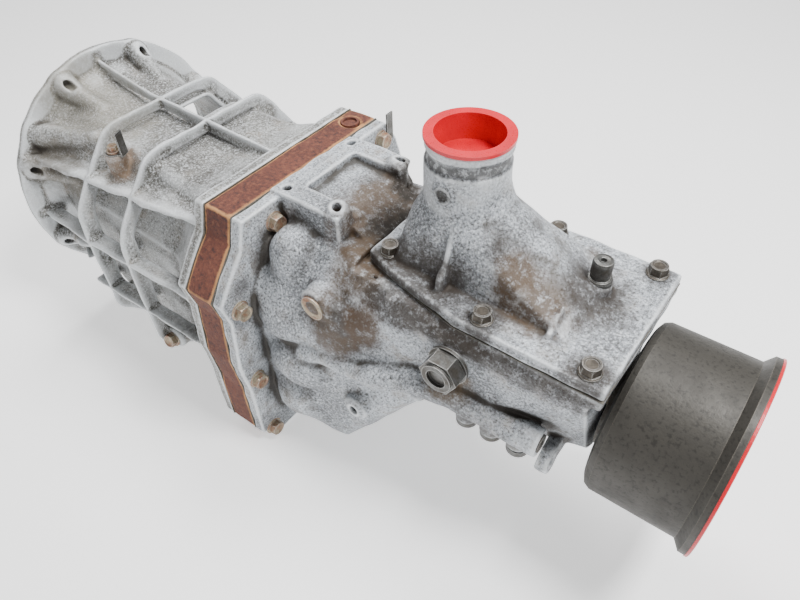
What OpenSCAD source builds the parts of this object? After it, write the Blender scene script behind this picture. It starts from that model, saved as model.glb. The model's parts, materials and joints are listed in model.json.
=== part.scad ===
// Five-speed manual transmission with a transmission parking brake drum.
// +X runs along the shafts from the engine face to the drum, +Z is up,
// and the origin is the centre of the engine face on the shaft axis.

/* [Front case] */
// Radius of the flange that bolts to the engine
bell_r = 175; // [170:1:184]
// Thickness of the engine flange
bell_flange_t = 12; // [10:1:16]
// Radius of the bell's outer wall behind the flange
bell_body_r = 148; // [144:1:150]
// Radius of the circle of engine bolts
engine_bolt_pcr = 164; // [162:1:165]
// Number of engine bolt holes
engine_bolt_count = 8; // [6:1:10]
// Radius of an engine bolt hole
engine_bolt_r = 5.5; // [4.5:0.5:6]
// Length of the front case, from the engine face to the intermediate plate
front_len = 372; // [368:1:400]
// Distance from the engine face to the bulkhead behind the clutch
bulkhead_x = 196; // [188:1:197]
// Thickness of the bulkhead
bulkhead_t = 18; // [16:1:19]
// Thickness of the cast walls
wall = 8; // [6:0.5:9]
// Height of the stiffening ribs above the cast wall
rib_h = 12; // [8:1:13]
// Thickness of the stiffening ribs
rib_t = 7; // [5:1:9]
// Thickness of the flanges beside the intermediate plate
joint_flange_t = 16; // [14:1:18]

/* [Intermediate plate and rear case] */
// Thickness of the intermediate plate
plate_t = 42; // [40:1:50]
// Thickness of the web inside the intermediate plate
plate_web_t = 18; // [14:1:24]
// Length of the deep part of the rear case
rear_deep_len = 124; // [120:1:130]
// Length of the rear case
rear_len = 408; // [400:1:430]
// Height of the control cover's seat above the shaft axis
cover_seat_z = 98; // [97:1:102]
// Height of the top pad above the shaft axis
pad_z = 142; // [136:1:146]
// Distance between the pad's hole rows along the shafts
pad_hole_dx = 74; // [70:1:74]
// Distance between the pad's hole rows across the shafts
pad_hole_dy = 113; // [106:1:116]
// Radius of a pad hole
pad_hole_r = 4.5; // [3.5:0.5:5]

/* [Control cover] */
// Thickness of the control cover's flange
cover_flange_t = 13; // [10:1:14]
// Distance from the rear case's front face to the turret's axis
turret_dx = 214; // [206:1:220]
// Outer radius of the turret
turret_r = 43; // [42:1:45]
// Radius of the turret's bore
turret_bore_r = 37; // [35:0.5:38]
// Height of the turret's rim above the shaft axis
turret_top_z = 248; // [230:1:256]
// Radius of a cover bolt's shank
cover_bolt_r = 5; // [4:0.5:5.5]

/* [Gears] */
// Gear module
gear_m = 3; // [2.9:0.05:3.05]
// Face width of every gear
gear_w = 18; // [16:1:18]
// Width of the dog ring beside each free gear
dog_w = 6; // [5:0.5:6]
// Gap between a synchro hub and the next dog ring
synchro_gap = 2; // [1.5:0.5:2]
// Width of a synchro hub
hub_w = 20; // [18:1:20]
// Radius of a synchro hub
hub_r = 42.45; // [40:0.05:43]
// Outer radius of a synchro sleeve
sleeve_r = 52; // [51:0.5:54]
// Travel of a synchro sleeve each way
shift_travel = 7; // [5:0.5:7]

/* [Shafts] */
// Radius of the input shaft's clutch spline
spline_r = 14.5; // [13:0.5:16]
// Radius of the input shaft's pilot end
pilot_r = 9; // [8:0.5:10]
// Radius of the main shaft under the gears
main_r = 19; // [17:0.5:20]
// Radius of the countershaft between its gears
counter_r = 20; // [18:0.5:21]
// Radius of the reverse idler's shaft
idler_shaft_r = 11; // [9:0.5:13]
// Radius of a shift rail
rail_r = 7.5; // [6.5:0.5:8]
// Height of the shift rails above the shaft axis
rail_z = 88; // [86:1:89]
// Distance between neighbouring shift rails
rail_gap = 28; // [26:1:30]

/* [Parking brake drum] */
// Outer radius of the drum
drum_r = 96.5; // [90:0.5:100]
// Outer radius of the drum's flared lip
drum_lip_r = 106; // [102:1:112]
// Length of the drum
drum_len = 114; // [100:1:125]
// Thickness of the drum's wall
drum_wall = 8; // [7:0.5:10]

/* [Fits] */
// Radial clearance of a running fit
run_fit = 0.05; // [0.02:0.01:0.1]
// Clearance between pieces that pass each other
gap = 0.4; // [0.3:0.1:0.6]
// Thickness of the gaskets
gasket_t = 0.8; // [0.5:0.1:1.2]

/* [Hidden] */
$fn = 64;

// Colours
ALUMINIUM = [0.72, 0.73, 0.74];
RUST = [0.45, 0.24, 0.16];
IRON = [0.33, 0.31, 0.28];
STEEL = [0.62, 0.62, 0.6];
ZINC = [0.62, 0.55, 0.42];
RED = [0.85, 0.1, 0.1];
BRASS = [0.72, 0.58, 0.25];
BLACK = [0.12, 0.12, 0.12];

// Front bearing retainer and its bolts
RETAINER_ANGLES = [45, 135, 225, 315];
retainer_pcr = 52;
retainer_bolt_r = 4;
retainer_t = 8;
// Clip on top of the front case
clip_x = 178;
clip_y = -108;
clip_z = 122;
clip_bolt_r = 4;
clip_tab_w = 13;
clip_tab_h = 32;
clip_t = 2;
// Rings around the front case, and its lengthwise ribs, of which the near ones rise towards the plate
RING_X = [140, 232];
NEAR_RIB_Z = [68, -17, -104];
FAR_RIB_Z = [58, -30];
rib_slope = 5;
// Window over the clutch that runs down the far side, and the slot for the release fork
window_x = RING_X[0] + rib_t / 2 + 2;
window_y = 14;
window_z = 24;
slot_x = 48;
slot_len = 52;
slot_z = -100;
slot_h = 42;
// Plug in the top of the intermediate plate
core_plug_r = 12;
core_plug_y = 98;
core_plug_z = 132;

// Tooth counts
Z_INPUT = 23;
Z_DRIVE = 43;
Z_THIRD = 30;
Z_THIRD_C = 36;
Z_SECOND = 39;
Z_SECOND_C = 27;
Z_FIRST = 48;
Z_FIRST_C = 18;
Z_REVERSE = 42;
Z_REVERSE_C = 18;
Z_IDLER = 24;
Z_FIFTH = 19;
Z_FIFTH_C = 47;
BACKLASH = 0.7;
// How much narrower a tooth is at its tip, and wider at its root, than half a pitch
TIP_SLOPE = 1.15;
ROOT_SLOPE = 0.9;

// The countershaft lies below the main shaft, and the idler beside both
centre_d = gear_m * (Z_INPUT + Z_DRIVE) / 2;
idler_main_d = gear_m * (Z_REVERSE + Z_IDLER) / 2;
idler_counter_d = gear_m * (Z_REVERSE_C + Z_IDLER) / 2;
idler_z = (pow(idler_counter_d, 2) - pow(idler_main_d, 2) - pow(centre_d, 2)) / (2 * centre_d);
idler_y = -sqrt(pow(idler_main_d, 2) - pow(idler_z, 2));

// Stations along the shafts
bulkhead_end = bulkhead_x + bulkhead_t;
drive_x = bulkhead_end + 5;
high_hub_x = drive_x + gear_w + dog_w + synchro_gap;
third_dog_x = high_hub_x + hub_w + synchro_gap;
third_x = third_dog_x + dog_w;
second_x = third_x + gear_w + 2;
second_dog_x = second_x + gear_w;
low_hub_x = second_dog_x + dog_w + synchro_gap;
first_dog_x = low_hub_x + hub_w + synchro_gap;
first_x = first_dog_x + dog_w;
plate_x = front_len + gasket_t;
plate_end = plate_x + plate_t;
rear_x = plate_end + gasket_t;
reverse_x = rear_x + 5;
reverse_dog_x = reverse_x + gear_w;
fifth_hub_x = reverse_dog_x + dog_w + synchro_gap;
fifth_dog_x = fifth_hub_x + hub_w + synchro_gap;
fifth_x = fifth_dog_x + dog_w;
rear_end = rear_x + rear_len;
turret_x = rear_x + turret_dx;
pad_x = rear_x + joint_flange_t / 2 + pad_hole_dx / 2 + 7;
cover_z = cover_seat_z + gasket_t;
cover_top_z = cover_z + cover_flange_t;

// Bearings: outer radius, inner race radii and width
input_brg_r = 40;
input_journal_r = 20;
brg_w = 18;
centre_brg_r = 50;
centre_journal_r = 22;
centre_brg_w = 26;
rear_brg_r = 40;
rear_journal_r = 17;
rear_brg_w = 22;
counter_brg_r = 36;
counter_journal_r = 16;
race_t = 4.5;
centre_brg_x = plate_x + (plate_t - centre_brg_w) / 2;
counter_rear_brg_x = plate_x + (plate_t - brg_w) / 2;
seal_t = 9;
seal_x = rear_end - seal_t;
rear_brg_x = seal_x - 8 - rear_brg_w;
rear_journal_end = rear_brg_x + rear_brg_w;

// Output end
flange_boss_r = 24;
output_flange_r = 52;
output_flange_t = 8;
output_flange_x = rear_end + 3;
drum_x = output_flange_x + output_flange_t;
drum_web_t = 9;
drum_end = drum_x + drum_len;
drum_bolt_pcr = 40;
drum_bolt_r = 5;
out_spline_r = 15;
main_pilot_r = 11;
pilot_bore_r = 15;
counter_end_r = 15;
front_seal_r = spline_r + 7;
seal_r = 34;
groove_w = 7;
groove_r = 47;

// Bosses and plugs of the rear case
pad_len = pad_hole_dx + 22;
pad_w = pad_hole_dy + 26;
pad_rim = 14.5;
recess_depth = 16;
tube_r = 16;
tube_y = -98;
tube_z = 4;
tube_end = rear_x + 374;
tube_plug_r = 10;
lug_y = tube_y + 12;
lug_z = -34;
lug_r = 15;
lug_t = 14;
lug_hole_r = 5;
side_boss_x = rear_x + 156;
side_boss_y = -132;
side_boss_z = -76;
side_hole_r = 5.1;
fill_x = rear_x + 104;
fill_y = -124;
fill_z = 60;
fill_r = 11;
switch_x = rear_x + 266;
switch_y = -102;
switch_z = 56;
switch_hex_r = 22;
switch_hex_h = 19;
switch_r = 12;
drain_x = rear_x + 70;
drain_r = 10;
drain_seat = -201;
DETENT_DX = [274, 306, 340];
detent_y = -70;
detent_r = 7;
detent_seat = -62;
turret_pin_z = 205;
cone_len = 196;
cone_w = 116;
cone_h = 62;
groove_below_rim = 16;
// Ribs across the cover: distance behind the turret's axis, thickness, width and height
COVER_RIBS = [[13, 6, 144, 34], [131, 5, 132, 20]];
breather_x = turret_x + 142;
breather_y = 22;
breather_r = 6;
breather_collar_r = 13;
breather_post_r = 9.6;

// Cast sections: corner discs as [y, z, radius]
MID_SECTION = [[-72, 100, 28], [-130, 36, 28], [-130, -105, 28], [-80, -152, 28],
               [70, -152, 28], [118, -100, 28], [118, 36, 28], [66, 100, 28]];
END_SECTION = [[-92, 92, 28], [-136, 30, 28], [-134, -150, 28], [-95, -176, 28],
               [90, -176, 28], [120, -140, 28], [120, 36, 28], [86, 92, 28]];
REAR_SECTION = [[-52, 84, 26], [-108, 32, 26], [-108, -164, 26], [-70, -170, 26],
                [60, -170, 26], [98, -150, 26], [98, 32, 26], [52, 84, 26]];
DEEP_SECTION = [[-66, 86, 22], [-104, 30, 24], [-98, -158, 28], [70, -158, 28], [92, 30, 24], [66, 86, 22]];
NECK_SECTION = [[-82, 78, 20], [-58, -20, 40], [50, -20, 40], [82, 78, 20]];
TAIL_SECTION = [[-78, 80, 18], [0, -2, 60], [78, 80, 18]];
MID_X = 120;
NECK_DX = 224;

// Outline of the joint faces beside the intermediate plate, as [y, z]
JOINT_OUTLINE = [[-128, 138], [-138, 104], [-162, 76], [-182, 50], [-174, 18], [-180, -54], [-174, -110],
                 [-174, -200], [-152, -225], [120, -225], [150, -202], [168, -120],
                 [170, 30], [146, 104], [124, 138]];
// Opening inside the joint faces, as [y, z]
JOINT_OPENING = [[-100, 110], [-140, 50], [-142, -160], [-100, -192],
                 [90, -192], [126, -150], [126, 40], [94, 110]];
// Bolts of the joint, as [y, z]
JOINT_BOLTS = [[-84, 112], [-158, 30], [-160, -93], [-155, -203], [-50, -210], [50, -210], [132, -188],
               [152, -90], [152, 20], [112, 118]];
joint_bolt_r = 6;
joint_head_h = 9;

// Outline of the control cover from above, as [x, y] behind the rear case's front face
COVER_OUTLINE = [[134, -60], [172, -74], [262, -93], [418, -93], [418, 93], [262, 93], [172, 74], [134, 60]];
COVER_BOLTS = [[155, -50.5], [285, -78], [396, -78], [285, 78], [396, 78], [155, 50.5]];
cover_ear_r = 15;

function dog_radius() = hub_r - gap;
function rail_y(i) = (i - 1) * rail_gap;
function tip_r(z) = gear_m * (z + 2) / 2;
function root_r(z) = gear_m * (z - 2.5) / 2;

// Outline points of one straight-sided tooth centred at angle a
function tooth(z, a) = let (
        pitch = gear_m * z / 2,
        half = (PI * gear_m / 2 - BACKLASH) / 2,
        w_pitch = half / pitch * 180 / PI,
        w_tip = (half - TIP_SLOPE) / tip_r(z) * 180 / PI,
        w_root = (half + ROOT_SLOPE) / root_r(z) * 180 / PI)
    [for (p = [[root_r(z), -w_root], [pitch, -w_pitch], [tip_r(z), -w_tip],
               [tip_r(z), w_tip], [pitch, w_pitch], [root_r(z), w_root]])
        [p[0] * cos(a + p[1]), p[0] * sin(a + p[1])]];

function wheel(z, phase) = [for (i = [0 : z - 1]) each tooth(z, phase + i * 360 / z)];

// Phase of a gear that meshes with another gear of phase p at direction dir
function meshed(p, z, dir, z2) = let (a = (dir - p) * z / 360) dir + 180 - (0.5 - a) * 360 / z2;

module along_x(x) {
    translate([x, 0, 0]) rotate([90, 0, 90]) children();
}

module rod_x(x, len, r, y = 0, z = 0) {
    translate([x, y, z]) rotate([0, 90, 0]) cylinder(h = len, r = r);
}

module ring_x(x, len, ro, ri, y = 0, z = 0) {
    difference() {
        rod_x(x, len, ro, y, z);
        rod_x(x - 1, len + 2, ri, y, z);
    }
}

module gear_x(x, z_count, phase, y = 0, z = 0) {
    translate([x, y, z]) rotate([90, 0, 90]) linear_extrude(gear_w) polygon(wheel(z_count, phase));
}

// Slab of a cast section, grown by g
module slab(x, section, g, t = 1) {
    for (d = section) translate([x, d[0], d[1]]) rotate([0, 90, 0]) cylinder(h = t, r = d[2] + g, $fn = 32);
}

// Hex bolt with a washer face, its head towards +X and its shank towards -X
module bolt_x(x, y, z, r, shank, head_h) {
    rod_x(x - shank, shank + 1, r, y, z);
    rod_x(x, 2.5, r * 2.1, y, z);
    translate([x + 1, y, z]) rotate([0, 90, 0]) cylinder(h = head_h, r = r * 1.75, $fn = 6);
}

// Hex bolt with a washer face, its head towards +Z and its shank towards -Z
module bolt_z(x, y, z, r, shank, head_h) {
    translate([x, y, z - shank]) cylinder(h = shank + 1, r = r);
    translate([x, y, z]) cylinder(h = 3, r = r * 2.4);
    translate([x, y, z + 2]) cylinder(h = head_h, r = r * 1.8, $fn = 6);
}

// Outer skin of the front case, grown by g
module front_skin(g) {
    hull() {
        rod_x(bell_flange_t - 4, 1, bell_body_r + g);
        slab(MID_X, MID_SECTION, g);
    }
    hull() {
        slab(MID_X, MID_SECTION, g);
        slab(front_len - joint_flange_t, END_SECTION, g);
    }
}

// Plates whose edges show as ribs on the front case
module rib_plates() {
    translate([0, -rib_t / 2, 60]) cube([front_len - 4, rib_t, 120]);
    for (x = RING_X) translate([x - rib_t / 2, -200, -220]) cube([rib_t, 400, 420]);
    for (z = NEAR_RIB_Z) translate([0, -200, z]) rotate([0, -rib_slope, 0]) cube([front_len - 4, 120, rib_t]);
    for (z = FAR_RIB_Z) translate([0, 60, z - rib_t / 2]) cube([front_len - 4, 140, rib_t]);
}

module joint_face(x, t) {
    along_x(x) linear_extrude(t) polygon(JOINT_OUTLINE);
}

module joint_holes(x, t, r) {
    for (b = JOINT_BOLTS) rod_x(x, t, r, b[0], b[1]);
}

module front_case() color(ALUMINIUM) difference() {
    union() {
        rod_x(0, bell_flange_t, bell_r);
        front_skin(0);
        intersection() {
            front_skin(rib_h);
            rib_plates();
        }
        joint_face(front_len - joint_flange_t, joint_flange_t);
        translate([clip_x, clip_y, 60]) cylinder(h = clip_z - 60, r = 13);
    }
    // clutch space
    rod_x(-1, bell_flange_t + 3, bell_body_r - wall + 3);
    hull() {
        rod_x(bell_flange_t - 4, 1, bell_body_r - wall);
        slab(bulkhead_x - 1, MID_SECTION, -wall - 2);
    }
    // gear space
    hull() {
        slab(bulkhead_end, MID_SECTION, -wall);
        slab(front_len, END_SECTION, -wall);
    }
    // window over the clutch, and the release fork's slot
    translate([window_x, window_y, window_z]) cube([bulkhead_x - 4 - window_x, 200, 180]);
    translate([slot_x, -200, slot_z]) cube([slot_len, 120, slot_h]);
    // bearing seats and oil seal land
    rod_x(bulkhead_x - 1, bulkhead_t + 2, input_brg_r);
    rod_x(bulkhead_x - 1, bulkhead_t + 2, counter_brg_r, 0, -centre_d);
    for (i = [0, 1, 2]) rod_x(bulkhead_end - 13, 14, rail_r + run_fit, rail_y(i), rail_z);
    for (a = [0 : 360 / engine_bolt_count : 359])
        rotate([a + 180 / engine_bolt_count, 0, 0])
            rod_x(-1, bell_flange_t + 30, engine_bolt_r, 0, engine_bolt_pcr);
    joint_holes(front_len - joint_flange_t - 1, joint_flange_t + 2, joint_bolt_r - 0.5);
    for (a = RETAINER_ANGLES) rotate([a, 0, 0]) rod_x(bulkhead_x - 1, 13, retainer_bolt_r, 0, retainer_pcr);
    translate([clip_x, clip_y, clip_z - 16]) cylinder(h = 17, r = clip_bolt_r);
}

module intermediate_plate() color(RUST) difference() {
    union() {
        difference() {
            joint_face(plate_x, plate_t);
            along_x(plate_x - 1) linear_extrude(plate_t + 2) polygon(JOINT_OPENING);
        }
        along_x(plate_x + (plate_t - plate_web_t) / 2) linear_extrude(plate_web_t) polygon(JOINT_OPENING);
        rod_x(plate_x, plate_t, centre_brg_r + 12);
        rod_x(plate_x, plate_t, counter_brg_r + 11, 0, -centre_d);
        for (i = [0, 1, 2]) rod_x(plate_x, plate_t, rail_r + 7, rail_y(i), rail_z);
        rod_x(plate_x + 4, plate_t - 4, idler_shaft_r + 8, idler_y, idler_z);
    }
    rod_x(plate_x - 1, plate_t + 2, centre_brg_r);
    rod_x(plate_x - 1, plate_t + 2, counter_brg_r, 0, -centre_d);
    for (i = [0, 1, 2]) rod_x(plate_x - 1, plate_t + 2, rail_r + run_fit, rail_y(i), rail_z);
    rod_x(plate_end - 24, 25, idler_shaft_r, idler_y, idler_z);
    joint_holes(plate_x - 1, plate_t + 2, joint_bolt_r + 0.5);
    translate([plate_x + plate_t / 2, core_plug_y, core_plug_z]) cylinder(h = 8, r = core_plug_r);
    // oil ways through the web
    for (p = [[-100, -60], [95, -60], [-95, 20], [95, 20]]) rod_x(plate_x - 1, plate_t + 2, 16, p[0], p[1]);
}

module plate_gaskets() color(BLACK) for (x = [front_len, plate_end]) difference() {
    joint_face(x, gasket_t);
    along_x(x - 1) linear_extrude(gasket_t + 2) polygon(JOINT_OPENING);
    joint_holes(x - 1, gasket_t + 2, joint_bolt_r + 0.5);
}

module rear_case() color(ALUMINIUM) difference() {
    union() {
        joint_face(rear_x, joint_flange_t);
        hull() {
            slab(rear_x + 4, REAR_SECTION, 0);
            slab(rear_x + rear_deep_len - 1, DEEP_SECTION, 0);
        }
        hull() {
            slab(rear_x + rear_deep_len - 1, DEEP_SECTION, 0);
            slab(rear_x + NECK_DX, NECK_SECTION, 0);
        }
        hull() {
            slab(rear_x + NECK_DX, NECK_SECTION, 0);
            slab(rear_end - 1, TAIL_SECTION, 0);
        }
        // top pad
        translate([rear_x + 1, -pad_w / 2, 96]) cube([pad_x + pad_len / 2 - rear_x - 1, pad_w, pad_z - 96]);
        // control cover seat
        along_cover() translate([0, 0, cover_seat_z - 14]) linear_extrude(14) cover_outline();
        // rail tube along the near side, side bosses and the drilled lug
        rod_x(rear_x + 150, tube_end - rear_x - 150, tube_r, tube_y, tube_z);
        translate([side_boss_x, side_boss_y, side_boss_z]) rotate([-90, 0, 0]) cylinder(h = 60, r = 15);
        translate([fill_x, fill_y, fill_z]) rotate([-90, 0, 0]) cylinder(h = 50, r = 19);
        translate([switch_x, switch_y, switch_z]) rotate([-90, 0, 0]) cylinder(h = 50, r = 23);
        rod_x(tube_end - 2, lug_t, lug_r, lug_y, lug_z);
        translate([tube_end - 2, -90, lug_z - 8]) cube([lug_t, 70, 26]);
        for (x = DETENT_DX) translate([rear_x + x, detent_y, detent_seat]) cylinder(h = 54, r = detent_r + 7);
        translate([drain_x, 0, drain_seat]) cylinder(h = 20, r = drain_r + 10);
        // boss that carries the idler's shaft
        rod_x(reverse_x + gear_w + 6, 22, idler_shaft_r + 8, idler_y, idler_z);
        translate([reverse_x + gear_w + 6, -124, idler_z - 10]) cube([22, 62, 20]);
    }
    difference() {
        union() {
            hull() {
                slab(rear_x - 1, REAR_SECTION, -wall + 1);
                slab(rear_x + rear_deep_len - wall, DEEP_SECTION, -wall + 1);
            }
            hull() {
                slab(rear_x + rear_deep_len - wall, DEEP_SECTION, -wall + 1);
                slab(rear_x + NECK_DX - wall, NECK_SECTION, -wall + 1);
            }
            hull() {
                slab(rear_x + NECK_DX - wall, NECK_SECTION, -wall + 1);
                slab(rear_brg_x - 6, TAIL_SECTION, -wall - 3);
            }
        }
        rod_x(reverse_x + gear_w + 6, 22, idler_shaft_r + 8, idler_y, idler_z);
        translate([reverse_x + gear_w + 6, -140, idler_z - 10]) cube([22, 78, 20]);
        // rail support in front of the cover opening
        translate([rear_x + 112, -50, 70]) cube([14, 100, 40]);
        for (x = DETENT_DX) translate([rear_x + x, detent_y, detent_seat]) cylinder(h = 52, r = detent_r + 7);
    }
    // flat for the control cover, and the opening under it
    translate([rear_x + 130, -100, cover_seat_z]) cube([rear_len, 200, 60]);
    translate([rear_x + 160, -54, 50]) cube([rear_brg_x - 12 - rear_x - 160, 108, 60]);
    for (i = [0, 1, 2]) rod_x(rear_x + 100, 80, rail_r + run_fit, rail_y(i), rail_z);
    // bearing seat, seal land and shaft way
    rod_x(rear_brg_x, rear_brg_w + 0.01, rear_brg_r);
    rod_x(rear_brg_x - 20, rear_len, rear_brg_r - 5);
    rod_x(seal_x, seal_t + 1, seal_r);
    rod_x(reverse_x + gear_w + 5, 18, idler_shaft_r, idler_y, idler_z);
    joint_holes(rear_x - 1, joint_flange_t + 2, joint_bolt_r + 0.5);
    // pad recess and holes
    translate([pad_x - pad_len / 2 + pad_rim, -pad_w / 2 + pad_rim, pad_z - recess_depth])
        cube([pad_len - 2 * pad_rim, pad_w - 2 * pad_rim, recess_depth + 1]);
    for (dx = [-1, 1], dy = [-1, 1])
        translate([pad_x + dx * pad_hole_dx / 2, dy * pad_hole_dy / 2, pad_z - 22])
            cylinder(h = 23, r = pad_hole_r);
    for (b = COVER_BOLTS)
        translate([rear_x + b[0], b[1], cover_seat_z - 18]) cylinder(h = 19, r = cover_bolt_r - 0.5);
    // threaded side holes
    translate([side_boss_x, side_boss_y - 1, side_boss_z]) rotate([-90, 0, 0])
        cylinder(h = 17, r = side_hole_r);
    translate([fill_x, fill_y - 1, fill_z]) rotate([-90, 0, 0]) cylinder(h = 60, r = fill_r);
    translate([switch_x, switch_y - 1, switch_z]) rotate([-90, 0, 0]) cylinder(h = 36, r = switch_r);
    rod_x(tube_end - 20, 21, tube_plug_r, tube_y, tube_z);
    translate([drain_x, 0, drain_seat - 1]) cylinder(h = 40, r = drain_r);
    rod_x(tube_end - 3, lug_t + 2, lug_hole_r, lug_y, lug_z);
    for (x = DETENT_DX)
        translate([rear_x + x, detent_y, detent_seat - 1]) cylinder(h = 51, r = detent_r);
}

module along_cover() {
    translate([rear_x, 0, 0]) children();
}

module cover_outline() {
    polygon(COVER_OUTLINE);
    for (b = COVER_BOLTS) translate([b[0], b[1]]) circle(cover_ear_r);
}

module cover_opening() {
    translate([164, -50]) square([rear_brg_x - 14 - rear_x - 164, 100]);
}

module cover_gasket() color(BLACK) translate([0, 0, cover_seat_z]) along_cover() linear_extrude(gasket_t)
    difference() {
        cover_outline();
        cover_opening();
        for (b = COVER_BOLTS) translate([b[0], b[1]]) circle(cover_bolt_r + 0.5);
    }

// Cone that blends the turret into the cover's flange, shrunk by g
module cover_cone(g) {
    hull() {
        translate([turret_x - 46 + g, -cone_w / 2 + g, cover_top_z - 2])
            cube([cone_len - 2 * g, cone_w - 2 * g, 1]);
        translate([turret_x, 0, cover_top_z + cone_h - g]) cylinder(h = 1, r = turret_r - g + 1);
    }
}

module control_cover() color(ALUMINIUM) difference() {
    union() {
        translate([0, 0, cover_z]) along_cover() linear_extrude(cover_flange_t) cover_outline();
        cover_cone(0);
        translate([turret_x, 0, cover_z]) cylinder(h = turret_top_z - cover_z, r = turret_r);
        for (r = COVER_RIBS) translate([turret_x + r[0], -r[2] / 2, cover_z]) cube([r[1], r[2], r[3]]);
        translate([turret_x, -turret_r - 3, turret_pin_z]) rotate([-90, 0, 0]) cylinder(h = 12, r = 9);
        translate([breather_x, breather_y, cover_z]) cylinder(h = 24, r = 14);
    }
    difference() {
        union() {
            cover_cone(wall - 1);
            translate([0, 0, cover_z - 1]) along_cover() linear_extrude(cover_flange_t) cover_opening();
        }
        translate([breather_x, breather_y, cover_z + 6]) cylinder(h = 24, r = 14);
    }
    translate([turret_x, 0, cover_z - 1]) cylinder(h = turret_top_z - cover_z + 2, r = turret_bore_r);
    translate([turret_x, 0, turret_top_z - groove_below_rim]) difference() {
        cylinder(h = 6, r = turret_r + 1);
        translate([0, 0, -1]) cylinder(h = 8, r = turret_r - 2);
    }
    for (b = COVER_BOLTS)
        translate([rear_x + b[0], b[1], cover_z - 1]) cylinder(h = 80, r = cover_bolt_r + 0.5);
    for (b = COVER_BOLTS) translate([rear_x + b[0], b[1], cover_top_z]) cylinder(h = 80, r = cover_ear_r - 1);
    translate([breather_x, breather_y, cover_z - 1]) cylinder(h = 40, r = breather_r);
}

module bearing_retainer() color(IRON) difference() {
    union() {
        rod_x(bulkhead_x - retainer_t, retainer_t, retainer_pcr + 9);
        rod_x(bulkhead_x - 90, 90, spline_r + 9);
    }
    rod_x(bulkhead_x - 91, 92, spline_r + 3.5);
    rod_x(bulkhead_x - retainer_t + 2, retainer_t, 30);
    rod_x(bulkhead_x - retainer_t - 10, 20, front_seal_r);
    for (a = RETAINER_ANGLES)
        rotate([a, 0, 0])
            rod_x(bulkhead_x - retainer_t - 1, retainer_t + 2, retainer_bolt_r + 0.4, 0, retainer_pcr);
}

module retainer_bolts() color(ZINC) for (a = RETAINER_ANGLES) rotate([a, 0, 0]) {
    rod_x(bulkhead_x - retainer_t, retainer_t + 11, retainer_bolt_r, 0, retainer_pcr);
    translate([bulkhead_x - retainer_t - 6, 0, retainer_pcr]) rotate([0, 90, 0])
        cylinder(h = 6, r = 7.5, $fn = 6);
}

module flange_bolts() color(ZINC) for (b = JOINT_BOLTS)
    bolt_x(rear_x + joint_flange_t, b[0], b[1],
           joint_bolt_r - 0.5, joint_flange_t * 2 + plate_t - 2, joint_head_h);

module cover_bolts() color(ZINC) for (b = COVER_BOLTS)
    bolt_z(rear_x + b[0], b[1], cover_top_z, cover_bolt_r - 0.5, cover_flange_t + 14, 8);

module breather() color(STEEL) difference() {
    union() {
        translate([breather_x, breather_y, cover_z + 2]) cylinder(h = 24, r = breather_r - 0.02);
        translate([breather_x, breather_y, cover_z + 24]) cylinder(h = 5, r = breather_collar_r);
        translate([breather_x, breather_y, cover_z + 24]) cylinder(h = 30, r = breather_post_r);
    }
    translate([breather_x, breather_y, cover_z]) cylinder(h = 48, r = 2);
}

// One upright tab on a drilled foot
module clip(x, y, z, angle) {
    translate([x, y, z]) rotate([0, 0, angle]) difference() {
        union() {
            cylinder(h = clip_t, r = 11);
            translate([8, -clip_tab_w / 2, 0]) cube([8, clip_tab_w, clip_t]);
            translate([14, -clip_tab_w / 2, 0]) cube([clip_t, clip_tab_w, clip_tab_h]);
        }
        translate([0, 0, -1]) cylinder(h = 4, r = clip_bolt_r + 0.5);
    }
}

module wire_clips() color(ZINC) {
    clip(clip_x, clip_y, clip_z, 20);
    translate([rear_x + joint_flange_t, 0, 0]) rear_clip();
}

// Tab held by the far top joint bolt
module rear_clip() {
    b = JOINT_BOLTS[9];
    difference() {
        translate([0, b[0] + 12, b[1] - 8]) cube([clip_t, clip_tab_w - 1, clip_tab_h + 6]);
        translate([-1, b[0], b[1]]) rotate([0, 90, 0]) cylinder(h = 4, r = joint_bolt_r * 2.2);
    }
}

module clip_bolt() color(ZINC) bolt_z(clip_x, clip_y, clip_z + clip_t, clip_bolt_r - 0.3, 15, 7);

module fill_plug() color(ZINC) {
    translate([fill_x, fill_y - 4, fill_z]) rotate([-90, 0, 0]) difference() {
        union() {
            cylinder(h = 4, r = 15);
            cylinder(h = 22, r = fill_r - 0.3);
        }
        translate([0, 0, -1]) cylinder(h = 8, r = 4);
    }
}

module drain_plug() color(ZINC) translate([drain_x, 0, drain_seat]) {
    translate([0, 0, -3]) cylinder(h = 3, r = 18);
    translate([0, 0, -10]) cylinder(h = 8, r = 13, $fn = 6);
    cylinder(h = 14, r = drain_r - 0.3);
}

module side_switch() color(STEEL) translate([switch_x, switch_y, switch_z]) rotate([90, 0, 0]) difference() {
    union() {
        translate([0, 0, -30]) cylinder(h = 31, r = switch_r - 0.3);
        cylinder(h = 4, r = 23);
        translate([0, 0, 3]) cylinder(h = switch_hex_h, r = switch_hex_r, $fn = 6);
        cylinder(h = 25, r = 17);
    }
    translate([0, 0, 21]) cylinder(h = 8, r = 11);
}

module detent_plugs() color(BLACK) for (x = DETENT_DX) translate([rear_x + x, detent_y, 0]) {
    translate([0, 0, detent_seat - 8]) cylinder(h = 8, r = 13);
    translate([0, 0, detent_seat]) cylinder(h = 14, r = detent_r - 0.3);
}

module detent_springs() color(STEEL) for (x = DETENT_DX)
    translate([rear_x + x, detent_y, detent_seat + 14]) difference() {
        cylinder(h = 24, r = detent_r - 1);
        translate([0, 0, -1]) cylinder(h = 26, r = detent_r - 3);
    }

module detent_balls() color(STEEL) for (x = DETENT_DX)
    translate([rear_x + x, detent_y, detent_seat + 41.1]) sphere(r = 5);

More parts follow.
